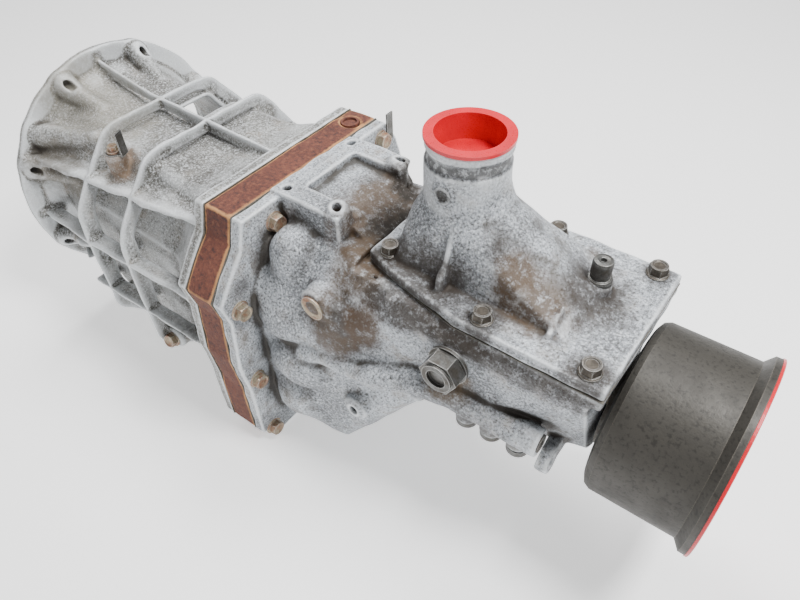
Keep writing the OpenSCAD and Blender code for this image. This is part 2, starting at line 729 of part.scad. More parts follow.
module tube_plug() color(IRON) difference() {
    rod_x(tube_end - 12, 13, tube_plug_r - 0.2, tube_y, tube_z);
    rod_x(tube_end - 4, 6, 5, tube_y, tube_z);
}

module core_plug() color(RUST) difference() {
    translate([plate_x + plate_t / 2, core_plug_y, core_plug_z]) cylinder(h = 7, r = core_plug_r - 0.1);
    translate([plate_x + plate_t / 2, core_plug_y, core_plug_z + 4]) cylinder(h = 4, r = core_plug_r - 3);
}

module front_oil_seal() color(BLACK)
    ring_x(bulkhead_x - retainer_t - 9, 8, front_seal_r - 0.02, spline_r + run_fit);

module rear_oil_seal() color(BLACK) ring_x(seal_x + 1, seal_t - 1, seal_r - 0.02, flange_boss_r + run_fit);

module idler_shaft() color(STEEL)
    rod_x(plate_end - 23, reverse_x + gear_w + 44 - plate_end, idler_shaft_r - 0.02, idler_y, idler_z);

// Outer race, inner race or balls of a ball bearing
module outer_race(x, w, ro, ri, y, z) {
    difference() {
        ring_x(x, w, ro - 0.02, (ro + ri) / 2 + 3, y, z);
        translate([x + w / 2, y, z]) rotate([0, 90, 0]) rotate_extrude() translate([(ro + ri) / 2, 0])
            circle(r = race_ball(ro, ri) + 0.02);
    }
}

module inner_race(x, w, ro, ri, journal, y, z) {
    difference() {
        ring_x(x, w, (ro + ri) / 2 - 3, journal + 0.01, y, z);
        translate([x + w / 2, y, z]) rotate([0, 90, 0]) rotate_extrude() translate([(ro + ri) / 2, 0])
            circle(r = race_ball(ro, ri) + run_fit);
    }
}

module balls(x, w, ro, ri, y, z) {
    count = floor(PI * (ro + ri) / (2 * race_ball(ro, ri) + 2));
    for (i = [0 : count - 1]) translate([x + w / 2, y, z]) rotate([i * 360 / count, 0, 0])
        translate([0, 0, (ro + ri) / 2]) sphere(r = race_ball(ro, ri));
}

function race_ball(ro, ri) = (ro - ri) / 2 - 1.5;

module full_outer(x, w, ro, ri, y = 0, z = 0) {
    outer_race(x, w, ro, ri, y, z);
    balls(x, w, ro, ri, y, z);
}

module input_bearing() color(STEEL) full_outer(bulkhead_x, brg_w, input_brg_r, input_journal_r + race_t);
module centre_bearing() color(STEEL)
    full_outer(centre_brg_x, centre_brg_w, centre_brg_r, centre_journal_r + race_t);
module rear_bearing() color(STEEL)
    full_outer(rear_brg_x, rear_brg_w, rear_brg_r, rear_journal_r + race_t);
module counter_bearings() color(STEEL) {
    full_outer(bulkhead_x, brg_w, counter_brg_r, counter_journal_r + race_t, 0, -centre_d);
    full_outer(counter_rear_brg_x, brg_w, counter_brg_r, counter_journal_r + race_t, 0, -centre_d);
}

module input_inner_race() color(STEEL)
    inner_race(bulkhead_x, brg_w, input_brg_r, input_journal_r + race_t, input_journal_r, 0, 0);

module main_inner_races() color(STEEL) {
    inner_race(centre_brg_x, centre_brg_w, centre_brg_r, centre_journal_r + race_t, centre_journal_r, 0, 0);
    inner_race(rear_brg_x, rear_brg_w, rear_brg_r, rear_journal_r + race_t, rear_journal_r, 0, 0);
}

module counter_inner_races() color(STEEL) for (x = [bulkhead_x, counter_rear_brg_x])
    inner_race(x, brg_w, counter_brg_r, counter_journal_r + race_t, counter_journal_r, 0, -centre_d);

module input_shaft() color(STEEL) difference() {
    union() {
        rod_x(6, 24, pilot_r);
        rod_x(30, bulkhead_x - 30, spline_r);
        for (i = [0 : 13]) rotate([i * 360 / 14, 0, 0])
            translate([40, -1.2, 0]) cube([70, 2.4, spline_r + 1.6]);
        rod_x(bulkhead_x, brg_w, input_journal_r);
        rod_x(bulkhead_end, 5, input_journal_r + 4);
        gear_x(drive_x, Z_INPUT, meshed(90, Z_DRIVE, 90, Z_INPUT));
        rod_x(drive_x + gear_w, dog_w, dog_radius() - 4);
    }
    rod_x(drive_x - 4, gear_w + dog_w + 5, pilot_bore_r);
}

module pilot_bearing() color(STEEL) ring_x(drive_x - 2, 18, pilot_bore_r - 0.02, main_pilot_r + run_fit);

module countershaft() color(STEEL) translate([0, 0, -centre_d]) {
    rod_x(bulkhead_x - 4, bulkhead_t + 4, counter_journal_r);
    rod_x(bulkhead_end, plate_x - bulkhead_end, counter_r);
    rod_x(plate_x, plate_t, counter_journal_r);
    rod_x(plate_end, fifth_x - plate_end, counter_r);
    rod_x(fifth_x, gear_w + 24, counter_end_r);
    gear_x(drive_x, Z_DRIVE, 90);
    gear_x(third_x, Z_THIRD_C, 90);
    gear_x(second_x, Z_SECOND_C, 90);
    gear_x(first_x, Z_FIRST_C, 90);
    gear_x(reverse_x, Z_REVERSE_C, 90);
}

module counter_fifth_gear() color(STEEL) difference() {
    gear_x(fifth_x, Z_FIFTH_C, 90, 0, -centre_d);
    rod_x(fifth_x - 1, gear_w + 2, counter_end_r + 0.01, 0, -centre_d);
}

module counter_nut() color(STEEL) difference() {
    translate([fifth_x + gear_w + 0.1, 0, -centre_d]) rotate([0, 90, 0]) cylinder(h = 16, r = 24, $fn = 6);
    rod_x(fifth_x + gear_w - 1, 30, counter_end_r + 0.01, 0, -centre_d);
}

module mainshaft() color(STEEL) {
    rod_x(drive_x, gear_w + dog_w + 1, main_pilot_r);
    rod_x(high_hub_x - 1, plate_x - high_hub_x + 1, main_r);
    rod_x(plate_x, plate_t, centre_journal_r);
    rod_x(plate_end, fifth_x + gear_w + 6 - plate_end, main_r);
    rod_x(fifth_x + gear_w + 6, rear_brg_x - fifth_x - gear_w - 6, main_r - 1);
    rod_x(rear_brg_x, rear_brg_w, rear_journal_r);
    rod_x(rear_journal_end, drum_x + drum_web_t + 22 - rear_journal_end, out_spline_r);
    for (i = [0 : 9]) rotate([i * 36, 0, 0]) translate([rear_brg_x - 40, -1.5, 0]) cube([14, 3, main_r + 4]);
}

module synchro_hubs() color(STEEL) for (x = [high_hub_x, low_hub_x, fifth_hub_x])
    ring_x(x, hub_w, hub_r, main_r + 0.01);

module blocker_rings() color(BRASS) for (x = [high_hub_x, low_hub_x, fifth_hub_x], side = [0, 1])
    ring_x(x + side * (hub_w + 1.1) - 1.1, 1.1, hub_r - gap, main_r + 6);

module output_flange() color(IRON) difference() {
    union() {
        rod_x(rear_journal_end + 2, output_flange_x - rear_journal_end - 1, flange_boss_r);
        rod_x(output_flange_x, output_flange_t, output_flange_r);
    }
    rod_x(rear_journal_end, 60, out_spline_r + 0.01);
    for (a = [45 : 90 : 359]) rotate([a, 0, 0])
        rod_x(output_flange_x - 1, 30, drum_bolt_r + 0.01, 0, drum_bolt_pcr);
}

module output_nut() color(STEEL) difference() {
    translate([drum_x + drum_web_t, 0, 0]) rotate([0, 90, 0]) cylinder(h = 18, r = 24, $fn = 6);
    rod_x(drum_x, 60, out_spline_r + 0.01);
}

module brake_drum() color(IRON) difference() {
    along_drum() rotate_extrude() polygon([
        [out_spline_r + 0.01, 0], [drum_r - 9, 0], [drum_r - 3, 3], [drum_r, 9], [drum_r, drum_len - 16],
        [drum_lip_r, drum_len - 8], [drum_lip_r, drum_len - 2], [drum_r - drum_wall + 4, drum_len - 2],
        [drum_r - drum_wall, drum_len - 12], [drum_r - drum_wall, drum_web_t + 4],
        [drum_r - drum_wall - 4, drum_web_t], [out_spline_r + 0.01, drum_web_t]]);
    for (a = [45 : 90 : 359]) rotate([a, 0, 0]) rod_x(drum_x - 1, 20, drum_bolt_r + 0.01, 0, drum_bolt_pcr);
}

module along_drum() {
    translate([drum_x, 0, 0]) rotate([0, 90, 0]) children();
}

module drum_bolts() color(ZINC) for (a = [45 : 90 : 359]) rotate([a, 0, 0]) {
    rod_x(output_flange_x - 2, output_flange_t + drum_web_t + 2, drum_bolt_r, 0, drum_bolt_pcr);
    translate([drum_x + drum_web_t, 0, drum_bolt_pcr]) rotate([0, 90, 0]) cylinder(h = 7, r = 9, $fn = 6);
}

// Free gear with its dog ring, running on the main shaft
module free_gear(x, dog_x, z_count, phase) {
    difference() {
        union() {
            gear_x(x, z_count, phase);
            rod_x(dog_x, dog_w, min(dog_radius(), root_r(z_count) + 10));
        }
        rod_x(x - 20, gear_w + 40, main_r + run_fit);
    }
}

module first_gear() color(STEEL)
    free_gear(first_x, first_dog_x, Z_FIRST, meshed(90, Z_FIRST_C, 90, Z_FIRST));
module second_gear() color(STEEL)
    free_gear(second_x, second_dog_x, Z_SECOND, meshed(90, Z_SECOND_C, 90, Z_SECOND));
module third_gear() color(STEEL)
    free_gear(third_x, third_dog_x, Z_THIRD, meshed(90, Z_THIRD_C, 90, Z_THIRD));
module fifth_gear() color(STEEL)
    free_gear(fifth_x, fifth_dog_x, Z_FIFTH, meshed(90, Z_FIFTH_C, 90, Z_FIFTH));

idler_dir = atan2(idler_z + centre_d, idler_y);
idler_phase = meshed(90, Z_REVERSE_C, idler_dir, Z_IDLER);
reverse_dir = atan2(-idler_z, -idler_y);

module reverse_gear() color(STEEL)
    free_gear(reverse_x, reverse_dog_x, Z_REVERSE, meshed(idler_phase, Z_IDLER, reverse_dir, Z_REVERSE));

module reverse_idler() color(STEEL) difference() {
    gear_x(reverse_x, Z_IDLER, idler_phase, idler_y, idler_z);
    rod_x(reverse_x - 1, gear_w + 2, idler_shaft_r + run_fit - 0.02, idler_y, idler_z);
}

module sleeve(x) difference() {
    ring_x(x, hub_w, sleeve_r, hub_r + run_fit);
    translate([x + (hub_w - groove_w) / 2, 0, 0]) rotate([0, 90, 0]) difference() {
        cylinder(h = groove_w, r = sleeve_r + 1);
        translate([0, 0, -1]) cylinder(h = groove_w + 2, r = groove_r);
    }
}

module low_sleeve() color(STEEL) sleeve(low_hub_x);
module high_sleeve() color(STEEL) sleeve(high_hub_x);
module fifth_sleeve() color(STEEL) sleeve(fifth_hub_x);

// Fork that rides in a sleeve's groove and is clamped on rail i
module fork(hub_x, i) {
    x = hub_x + (hub_w - groove_w) / 2 + gap;
    t = groove_w - 2 * gap;
    difference() {
        union() {
            intersection() {
                rod_x(x, t, sleeve_r + 8);
                translate([x - 1, -80, -14]) cube([t + 2, 160, 100]);
            }
            translate([x, rail_y(i) - 8, sleeve_r - 2]) cube([t, 16, rail_z - sleeve_r]);
            rod_x(x + t / 2 - 9, 18, rail_r + 3.5, rail_y(i), rail_z);
        }
        rod_x(x - 1, t + 2, groove_r + gap);
        rod_x(x - 20, 60, rail_r, rail_y(i), rail_z);
        translate([x - 30, -80, -90]) cube([29.99, 160, 90 + sleeve_r + 2]);
        translate([x + t, -80, -90]) cube([30, 160, 90 + sleeve_r + 2]);
    }
}

module high_fork() color(IRON) fork(high_hub_x, 0);
module low_fork() color(IRON) fork(low_hub_x, 1);
module fifth_fork() color(IRON) fork(fifth_hub_x, 2);

// Shift rail with three detent grooves and the slotted gate block that the lever's finger enters
module rail(x, i) {
    difference() {
        union() {
            rod_x(x, turret_x + 30 - x, rail_r, rail_y(i), rail_z);
            translate([turret_x - 14, rail_y(i) - 11, rail_z - 9]) cube([28, 22, 26]);
        }
        translate([turret_x - 7, rail_y(i) - 12, rail_z + 6]) cube([14, 24, 22]);
        for (k = [-1 : 1])
            ring_x(plate_x + plate_t / 2 + k * shift_travel - 1.5, 3,
                   rail_r + 1, rail_r - 1.5, rail_y(i), rail_z);
    }
}

module high_rail() color(STEEL) rail(bulkhead_end - 4, 0);
module low_rail() color(STEEL) rail(bulkhead_end - 4, 1);
module fifth_rail() color(STEEL) rail(plate_x + 8, 2);

module tower_cap() color(RED) difference() {
    translate([turret_x, 0, 0]) union() {
        translate([0, 0, turret_top_z - 28]) cylinder(h = 30, r = turret_bore_r - run_fit);
        translate([0, 0, turret_top_z]) cylinder(h = 3.5, r = turret_r + 1);
    }
    translate([turret_x, 0, turret_top_z - 25]) cylinder(h = 40, r = turret_bore_r - 3);
}

module drum_cover() color(RED) {
    rod_x(drum_end - 2, 3, drum_lip_r + 1);
    difference() {
        rod_x(drum_end - 14, 12, drum_r - drum_wall - 2 * run_fit);
        rod_x(drum_end - 15, 14, drum_r - drum_wall - 3);
    }
}

front_case();
intermediate_plate();
rear_case();
control_cover();
cover_gasket();
plate_gaskets();
bearing_retainer();
retainer_bolts();
flange_bolts();
cover_bolts();
breather();
wire_clips();
clip_bolt();
fill_plug();
drain_plug();
side_switch();
detent_plugs();
detent_springs();
detent_balls();
tube_plug();
core_plug();
front_oil_seal();
rear_oil_seal();
idler_shaft();
input_bearing();
centre_bearing();
rear_bearing();
counter_bearings();
input_inner_race();
main_inner_races();
counter_inner_races();
input_shaft();
pilot_bearing();
countershaft();
counter_fifth_gear();
counter_nut();
mainshaft();
synchro_hubs();
blocker_rings();
output_flange();
output_nut();
brake_drum();
drum_bolts();
first_gear();
second_gear();
third_gear();
fifth_gear();
reverse_gear();
reverse_idler();
low_sleeve();
high_sleeve();
fifth_sleeve();
low_fork();
high_fork();
fifth_fork();
low_rail();
high_rail();
fifth_rail();
tower_cap();
drum_cover();
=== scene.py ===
"""Looks of the manual transmission: cast cases, hardware, stains, floor, lights and camera."""
import json
import math

import bpy
import numpy as np
import openvdb
from mathutils import Matrix, Vector

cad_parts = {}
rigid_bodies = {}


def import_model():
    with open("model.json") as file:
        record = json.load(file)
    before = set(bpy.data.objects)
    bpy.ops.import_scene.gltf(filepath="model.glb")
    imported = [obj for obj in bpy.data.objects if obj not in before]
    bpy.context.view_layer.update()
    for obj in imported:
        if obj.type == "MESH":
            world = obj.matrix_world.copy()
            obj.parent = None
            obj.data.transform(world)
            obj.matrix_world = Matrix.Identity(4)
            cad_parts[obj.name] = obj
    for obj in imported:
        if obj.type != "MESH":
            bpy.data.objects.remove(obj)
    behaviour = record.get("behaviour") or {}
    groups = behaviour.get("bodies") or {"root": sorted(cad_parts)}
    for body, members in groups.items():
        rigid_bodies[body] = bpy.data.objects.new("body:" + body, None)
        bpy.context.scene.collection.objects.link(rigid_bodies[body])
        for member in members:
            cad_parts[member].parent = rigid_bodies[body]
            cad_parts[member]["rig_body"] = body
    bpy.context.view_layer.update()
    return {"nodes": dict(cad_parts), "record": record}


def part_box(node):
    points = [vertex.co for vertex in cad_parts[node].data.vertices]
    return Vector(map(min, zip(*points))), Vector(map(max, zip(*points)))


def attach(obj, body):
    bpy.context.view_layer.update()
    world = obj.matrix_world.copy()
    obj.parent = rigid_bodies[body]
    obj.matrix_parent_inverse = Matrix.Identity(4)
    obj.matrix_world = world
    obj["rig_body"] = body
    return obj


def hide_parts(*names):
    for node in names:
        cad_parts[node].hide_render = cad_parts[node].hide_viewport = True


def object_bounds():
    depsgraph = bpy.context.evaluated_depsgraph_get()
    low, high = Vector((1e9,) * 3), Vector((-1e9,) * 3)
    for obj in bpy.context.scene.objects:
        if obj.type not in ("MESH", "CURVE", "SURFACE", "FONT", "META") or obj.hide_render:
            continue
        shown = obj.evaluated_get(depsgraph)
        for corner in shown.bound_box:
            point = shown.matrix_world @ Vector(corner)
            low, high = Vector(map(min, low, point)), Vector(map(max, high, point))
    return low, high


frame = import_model()
nodes = frame["nodes"]
MM = 0.001

# Stations along the shafts, in millimetres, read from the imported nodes
front_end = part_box("front_case")[1].x / MM
rear_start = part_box("rear_case")[0].x / MM
turret_x = sum(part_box("tower_cap")[i].x for i in (0, 1)) / 2 / MM


# ---------------------------------------------------------------- materials
def new_material(name):
    """A node material, its tree, its shader and the object's coordinates in metres."""
    material = bpy.data.materials.new(name)
    material.use_nodes = True
    tree = material.node_tree
    place = tree.nodes.new("ShaderNodeTexCoord").outputs["Object"]
    return material, tree, tree.nodes["Principled BSDF"], place


def noise(tree, place, scale, detail=4.0, rough=0.6):
    """Noise from 0 to 1, with scale in waves per metre."""
    node = tree.nodes.new("ShaderNodeTexNoise")
    node.inputs["Scale"].default_value = scale
    node.inputs["Detail"].default_value = detail
    node.inputs["Roughness"].default_value = rough
    tree.links.new(place, node.inputs["Vector"])
    return node.outputs["Fac"]


def ramp(tree, value, low, high, out_low=0.0, out_high=1.0):
    """Maps a value between two limits to an output range, clamped."""
    node = tree.nodes.new("ShaderNodeMapRange")
    for name, number in (("From Min", low), ("From Max", high), ("To Min", out_low), ("To Max", out_high)):
        node.inputs[name].default_value = number
    tree.links.new(value, node.inputs["Value"])
    return node.outputs["Result"]


def calc(tree, kind, *values):
    """One Math node on sockets or numbers."""
    node = tree.nodes.new("ShaderNodeMath")
    node.operation = kind
    for socket, value in zip(node.inputs, values):
        if isinstance(value, (int, float)):
            socket.default_value = value
        else:
            tree.links.new(value, socket)
    return node.outputs["Value"]


def mix(tree, factor, a, b):
    """Mixes two colours, each a socket or an RGB triple, by a factor socket."""
    node = tree.nodes.new("ShaderNodeMix")
    node.data_type = "RGBA"
    tree.links.new(factor, node.inputs["Factor"])
    sockets = [s for s in node.inputs if s.type == "RGBA"]
    for socket, value in zip(sockets, (a, b)):
        if isinstance(value, tuple):
            socket.default_value = (*value, 1)
        else:
            tree.links.new(value, socket)
    return next(s for s in node.outputs if s.type == "RGBA")


def bump(tree, shader, height, distance, strength=1.0):
    """Bumps the shader's normal by a height socket, with the distance in metres."""
    node = tree.nodes.new("ShaderNodeBump")
    node.inputs["Strength"].default_value = strength
    node.inputs["Distance"].default_value = distance
    tree.links.new(height, node.inputs["Height"])
    tree.links.new(node.outputs["Normal"], shader.inputs["Normal"])


def spot(tree, place, ragged, centre, radius, squash=(1, 1, 1)):
    """Mask around a point given in millimetres, its edge broken up by a noise socket."""
    mapping = tree.nodes.new("ShaderNodeMapping")
    mapping.vector_type = "POINT"
    mapping.inputs["Location"].default_value = [-c * MM * s for c, s in zip(centre, squash)]
    mapping.inputs["Scale"].default_value = squash
    tree.links.new(place, mapping.inputs["Vector"])
    away = tree.nodes.new("ShaderNodeVectorMath")
    away.operation = "LENGTH"
    tree.links.new(mapping.outputs["Vector"], away.inputs[0])
    reach = calc(tree, "MULTIPLY_ADD", ragged, 1.6 * radius * MM, away.outputs["Value"])
    return ramp(tree, reach, 2.0 * radius * MM, 1.5 * radius * MM)


def attribute(tree, name):
    """A mask that is stored on the mesh."""
    node = tree.nodes.new("ShaderNodeAttribute")
    node.attribute_name = name
    return node.outputs["Fac"]


def edge_mask(tree, radius=0.0015):
    """Mask of a hard-edged piece's edges, from the turn between its true and its rounded normal."""
    rounded = tree.nodes.new("ShaderNodeBevel")
    rounded.samples = 4
    rounded.inputs["Radius"].default_value = radius
    turn = tree.nodes.new("ShaderNodeVectorMath")
    turn.operation = "DOT_PRODUCT"
    tree.links.new(rounded.outputs["Normal"], turn.inputs[0])
    tree.links.new(tree.nodes.new("ShaderNodeNewGeometry").outputs["Normal"], turn.inputs[1])
    return ramp(tree, turn.outputs["Value"], 0.99, 0.86)


def cast_metal(name, light, dark, stains):
    """Weathered sand-cast aluminium with grime and painted shade in its corners, and bright edges.

    A stain, or a patch of painted shade, is its centre and radius in millimetres, its squash along each axis,
    its tint and its amount.
    """
    material, tree, shader, place = new_material(name)
    broad = noise(tree, place, 11, 5)
    ragged = noise(tree, place, 46, 6, 0.68)
    speckle = noise(tree, place, 380, 5, 0.75)
    flecks = noise(tree, place, 130, 6, 0.8)
    grain = noise(tree, place, 1500, 2)
    colour = mix(tree, ramp(tree, broad, 0.38, 0.6), dark, light)
    colour = mix(tree, ramp(tree, speckle, 0.51, 0.64, 0, 0.75), colour, (0.80, 0.83, 0.87))
    colour = mix(tree, ramp(tree, speckle, 0.49, 0.38, 0, 0.9), colour, (0.05, 0.046, 0.04))
    warm = calc(tree, "MULTIPLY", ramp(tree, ragged, 0.5, 0.66, 0, 0.6), ramp(tree, broad, 0.42, 0.6))
    colour = mix(tree, warm, colour, (0.24, 0.19, 0.135))
    # Grime and painted shade: the metal goes near-black where the blurred distance field finds a hollow,
    # standing in for occlusion.
    hollow = attribute(tree, "hollow")
    grime_and_painted_shade = ramp(tree, calc(tree, "MULTIPLY_ADD", ragged, 0.7, hollow), 0.33, 0.62)
    grime_and_painted_shade = calc(tree, "MULTIPLY", grime_and_painted_shade, 0.94)
    colour = mix(tree, grime_and_painted_shade, colour, (0.04, 0.034, 0.027))
    edge = attribute(tree, "edge")
    shine = ramp(tree, calc(tree, "MULTIPLY_ADD", ragged, 0.35, edge), 0.3, 0.75)
    shine = calc(tree, "MULTIPLY", shine, 0.7)
    colour = mix(tree, shine, colour, (0.80, 0.83, 0.85))
    for centre, radius, squash, tint, amount in stains:
        mask = calc(tree, "MULTIPLY", spot(tree, place, ragged, centre, radius, squash), amount)
        mask = calc(tree, "MULTIPLY", mask, ramp(tree, flecks, 0.5, 0.62, 1, 0.4))
        colour = mix(tree, mask, colour, tint)
    tree.links.new(colour, shader.inputs["Base Color"])
    shader.inputs["Metallic"].default_value = 0.35
    tree.links.new(ramp(tree, speckle, 0.3, 0.7, 0.4, 0.62), shader.inputs["Roughness"])
    height = calc(tree, "MULTIPLY_ADD", grain, 0.4, calc(tree, "MULTIPLY_ADD", ragged, 0.8, speckle))
    bump(tree, shader, height, 0.0014, 0.7)
    return material


def plain_metal(name, colour, tint, metallic, rough, grain, patch, amount, lumps, bare=(0.62, 0.62, 0.6)):
    """Machined or plated metal with tinted patches, fine grain and edges worn bare."""
    material, tree, shader, place = new_material(name)
    patches = noise(tree, place, patch, 5, 0.65)
    fine = noise(tree, place, grain, 3)
    shade = mix(tree, ramp(tree, patches, 0.42, 0.62, 0, amount), colour, tint)
    shade = mix(tree, ramp(tree, fine, 0.48, 0.34, 0, 0.6), shade, tuple(0.3 * c for c in colour))
    worn = calc(tree, "MULTIPLY", edge_mask(tree), ramp(tree, patches, 0.35, 0.6, 0.3, 0.85))
    shade = mix(tree, worn, shade, bare)
    tree.links.new(shade, shader.inputs["Base Color"])
    shader.inputs["Metallic"].default_value = metallic
    tree.links.new(ramp(tree, patches, 0.3, 0.7, *rough), shader.inputs["Roughness"])
    bump(tree, shader, fine, lumps, 0.6)
    return material


def rusty_metal(name):
    """Cast iron under an even coat of rust, orange at its edges."""
    material, tree, shader, place = new_material(name)
    broad = noise(tree, place, 22, 5)
    flakes = noise(tree, place, 190, 7, 0.8)
    grain = noise(tree, place, 1200, 2)
    colour = mix(tree, ramp(tree, broad, 0.35, 0.65), (0.105, 0.034, 0.024), (0.165, 0.054, 0.035))
    colour = mix(tree, ramp(tree, flakes, 0.52, 0.64, 0, 0.75), colour, (0.27, 0.105, 0.06))
    colour = mix(tree, ramp(tree, flakes, 0.48, 0.38, 0, 0.9), colour, (0.03, 0.017, 0.017))
    edge = calc(tree, "MULTIPLY_ADD", flakes, 0.5, attribute(tree, "edge"))
    colour = mix(tree, ramp(tree, edge, 0.5, 0.85, 0, 0.9), colour, (0.60, 0.30, 0.12))
    tree.links.new(colour, shader.inputs["Base Color"])
    shader.inputs["Metallic"].default_value = 0.1
    tree.links.new(ramp(tree, flakes, 0.3, 0.7, 0.7, 0.92), shader.inputs["Roughness"])
    bump(tree, shader, calc(tree, "MULTIPLY_ADD", grain, 0.4, flakes), 0.0022, 0.9)
    return material


def moulded_plastic(name, colour, deep):
    """Glossy moulded polyethylene with faint flow marks, paler where light passes its thin edges."""
    material, tree, shader, place = new_material(name)
    flow = noise(tree, place, 30, 3)
    fine = noise(tree, place, 900, 2)
    shade = mix(tree, ramp(tree, flow, 0.35, 0.65), colour, deep)
    shade = mix(tree, calc(tree, "MULTIPLY", edge_mask(tree, 0.001), 0.4), shade, (0.85, 0.10, 0.09))
    tree.links.new(shade, shader.inputs["Base Color"])
    tree.links.new(ramp(tree, fine, 0.3, 0.7, 0.24, 0.38), shader.inputs["Roughness"])
    shader.inputs["Subsurface Weight"].default_value = 0.1
    shader.inputs["Subsurface Radius"].default_value = (0.004, 0.001, 0.001)
    shader.inputs["Subsurface Scale"].default_value = 1.0
    bump(tree, shader, calc(tree, "MULTIPLY_ADD", fine, 0.2, flow), 0.0004, 0.4)
    return material


def soft_material(name, colour, spots, scale, rough=0.85):
    """Rubber or gasket paper: mottled, matt and finely pitted."""
    material, tree, shader, place = new_material(name)
    patches = noise(tree, place, scale, 5, 0.7)
    pits = noise(tree, place, scale * 6, 2)
    tree.links.new(mix(tree, ramp(tree, patches, 0.4, 0.62), colour, spots), shader.inputs["Base Color"])
    tree.links.new(ramp(tree, pits, 0.3, 0.7, rough - 0.2, rough), shader.inputs["Roughness"])
    bump(tree, shader, pits, 0.0003, 0.6)
    return material


# ---------------------------------------------------------------- distance fields
def smooth_min(a, b, k):
    """The smaller of two distances, with a fillet of reach k where they meet."""
    h = np.clip(0.5 + 0.5 * (b - a) / k, 0, 1)
    return b + (a - b) * h - k * h * (1 - h)


class Casting:
    """Distance field of a cast piece in millimetres, negative in the metal, started from its CAD node."""

    def __init__(self, node, voxel, margin=10, band=6):
        mesh = nodes[node].data
        mesh.calc_loop_triangles()
        points = np.empty(len(mesh.vertices) * 3, np.float32)
        mesh.vertices.foreach_get("co", points)
        corners = np.empty(len(mesh.loop_triangles) * 3, np.int32)
        mesh.loop_triangles.foreach_get("vertices", corners)
        grid = openvdb.FloatGrid.createLevelSetFromPolygons(
            points.reshape(-1, 3) / MM, triangles=corners.reshape(-1, 3).astype(np.uint32),
            transform=openvdb.createLinearTransform(voxel), halfWidth=band)
        low, high = (np.array(c) for c in grid.evalActiveVoxelBoundingBox())
        self.node, self.voxel = node, voxel
        self.low = low - margin
        self.field = np.empty(high - low + 1 + 2 * margin, np.float32)
        grid.copyToArray(self.field, ijk=tuple(int(c) for c in self.low))

    def cells(self, low=(-9999,) * 3, high=(9999,) * 3):
        """The cells between two corners: their slices, and their coordinates along each axis."""
        first = np.clip(np.floor(np.array(low) / self.voxel).astype(int) - self.low, 0, self.field.shape)
        last = np.clip(np.ceil(np.array(high) / self.voxel).astype(int) - self.low + 1, 0, self.field.shape)
        axes = [(np.arange(a, b, dtype=np.float32) + o) * self.voxel for a, b, o in zip(first, last, self.low)]
        return tuple(slice(a, b) for a, b in zip(first, last)), np.meshgrid(*axes, indexing="ij", sparse=True)

    def add(self, shape, blend=5.0):
        """Joins a shape to the metal with a fillet."""
        low, high, distance = shape
        at, axes = self.cells(np.array(low) - blend - 4, np.array(high) + blend + 4)
        self.field[at] = smooth_min(self.field[at], distance(*axes), blend)

    def cut(self, shape, blend=3.0):
        """Takes a shape out of the metal with rounded edges."""
        low, high, distance = shape
        at, axes = self.cells(np.array(low) - blend - 4, np.array(high) + blend + 4)
        self.field[at] = -smooth_min(-self.field[at], distance(*axes), blend)

    def soften(self, times):
        """Rounds edges and fills corners, as a sand mould does."""
        for _ in range(times):
            for axis in range(3):
                f = np.moveaxis(self.field, axis, 0)
                f[1:-1] = 0.25 * f[:-2] + 0.5 * f[1:-1] + 0.25 * f[2:]

    def roughen(self, amount, waves=9, seed=4):
        """Adds low swells to the skin."""
        turn = np.random.default_rng(seed)
        _, (x, y, z) = self.cells()
        for _ in range(waves):
            d = turn.normal(size=3)
            d *= turn.uniform(0.08, 0.22) / np.linalg.norm(d)
            phase = turn.uniform(0, 6.28)
            self.field += amount / waves * 2 * np.sin(x * d[0] + phase + y * d[1] + z * d[2])

    def trim(self, axis, value, side):
        """Cuts the metal flat past a plane. side is 1 to keep what is below it and -1 to keep what is above."""
        _, axes = self.cells()
        np.maximum(self.field, side * (axes[axis] - value), out=self.field)

    def shell(self, name, material, body="case", hollow=5):
        """Meshes the field into a piece that replaces the CAD node, with masks for grime and painted shade in
        hollows and for worn edges.
        """
        grid = openvdb.FloatGrid(float(self.field.max()))
        grid.copyFromArray(self.field)
        points, _, quads = grid.convertToPolygons(isovalue=0, adaptivity=0)
        blurred = box_blur(self.field, hollow)
        curve = sample(blurred, points)
        near = sample(box_blur(self.field, 1), points)
        mesh = bpy.data.meshes.new(name)
        mesh.from_pydata(((points + self.low) * self.voxel * MM).tolist(), [], quads[:, ::-1].tolist())
        mesh.polygons.foreach_set("use_smooth", np.ones(len(quads), bool))
        # hollow drives the grime and painted shade of the hollows, edge the bright worn edges
        for key, value in (("hollow", -curve / hollow / self.voxel * 2), ("edge", near / self.voxel * 4)):
            mesh.attributes.new(key, "FLOAT", "POINT").data.foreach_set("value", value.astype(np.float32))
        mesh.materials.append(material)
        piece = bpy.data.objects.new(name, mesh)
        bpy.context.scene.collection.objects.link(piece)
        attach(piece, body)
        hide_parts(self.node)
        return piece


def box_blur(field, reach):
    """Mean over a cube of cells that reaches so far each way."""
    result = field
    for axis in range(3):
        f = np.moveaxis(result, axis, 0)
        padded = np.concatenate([np.repeat(f[:1], reach + 1, 0), f, np.repeat(f[-1:], reach, 0)])
        total = np.cumsum(padded, axis=0, dtype=np.float64)
        mean = ((total[2 * reach + 1:] - total[:-2 * reach - 1]) / (2 * reach + 1)).astype(np.float32)
        result = np.moveaxis(mean, 0, axis)
    return result


def sample(field, points):
    """The field at points given in cells, blended from the eight cells around each."""
    base = np.clip(np.floor(points).astype(int), 0, np.array(field.shape) - 2)
    part = points - base
    result = np.zeros(len(points))
    for corner in range(8):
        offset = np.array([corner >> 2 & 1, corner >> 1 & 1, corner & 1])
        weight = np.prod(np.where(offset, part, 1 - part), axis=1)
        result += weight * field[tuple((base + offset).T)]
    return result


def bounds_of(points, reach):
    """Lowest and highest corner of some points, widened by a reach."""
    points = np.array(points, float)
    return points.min(0) - reach, points.max(0) + reach


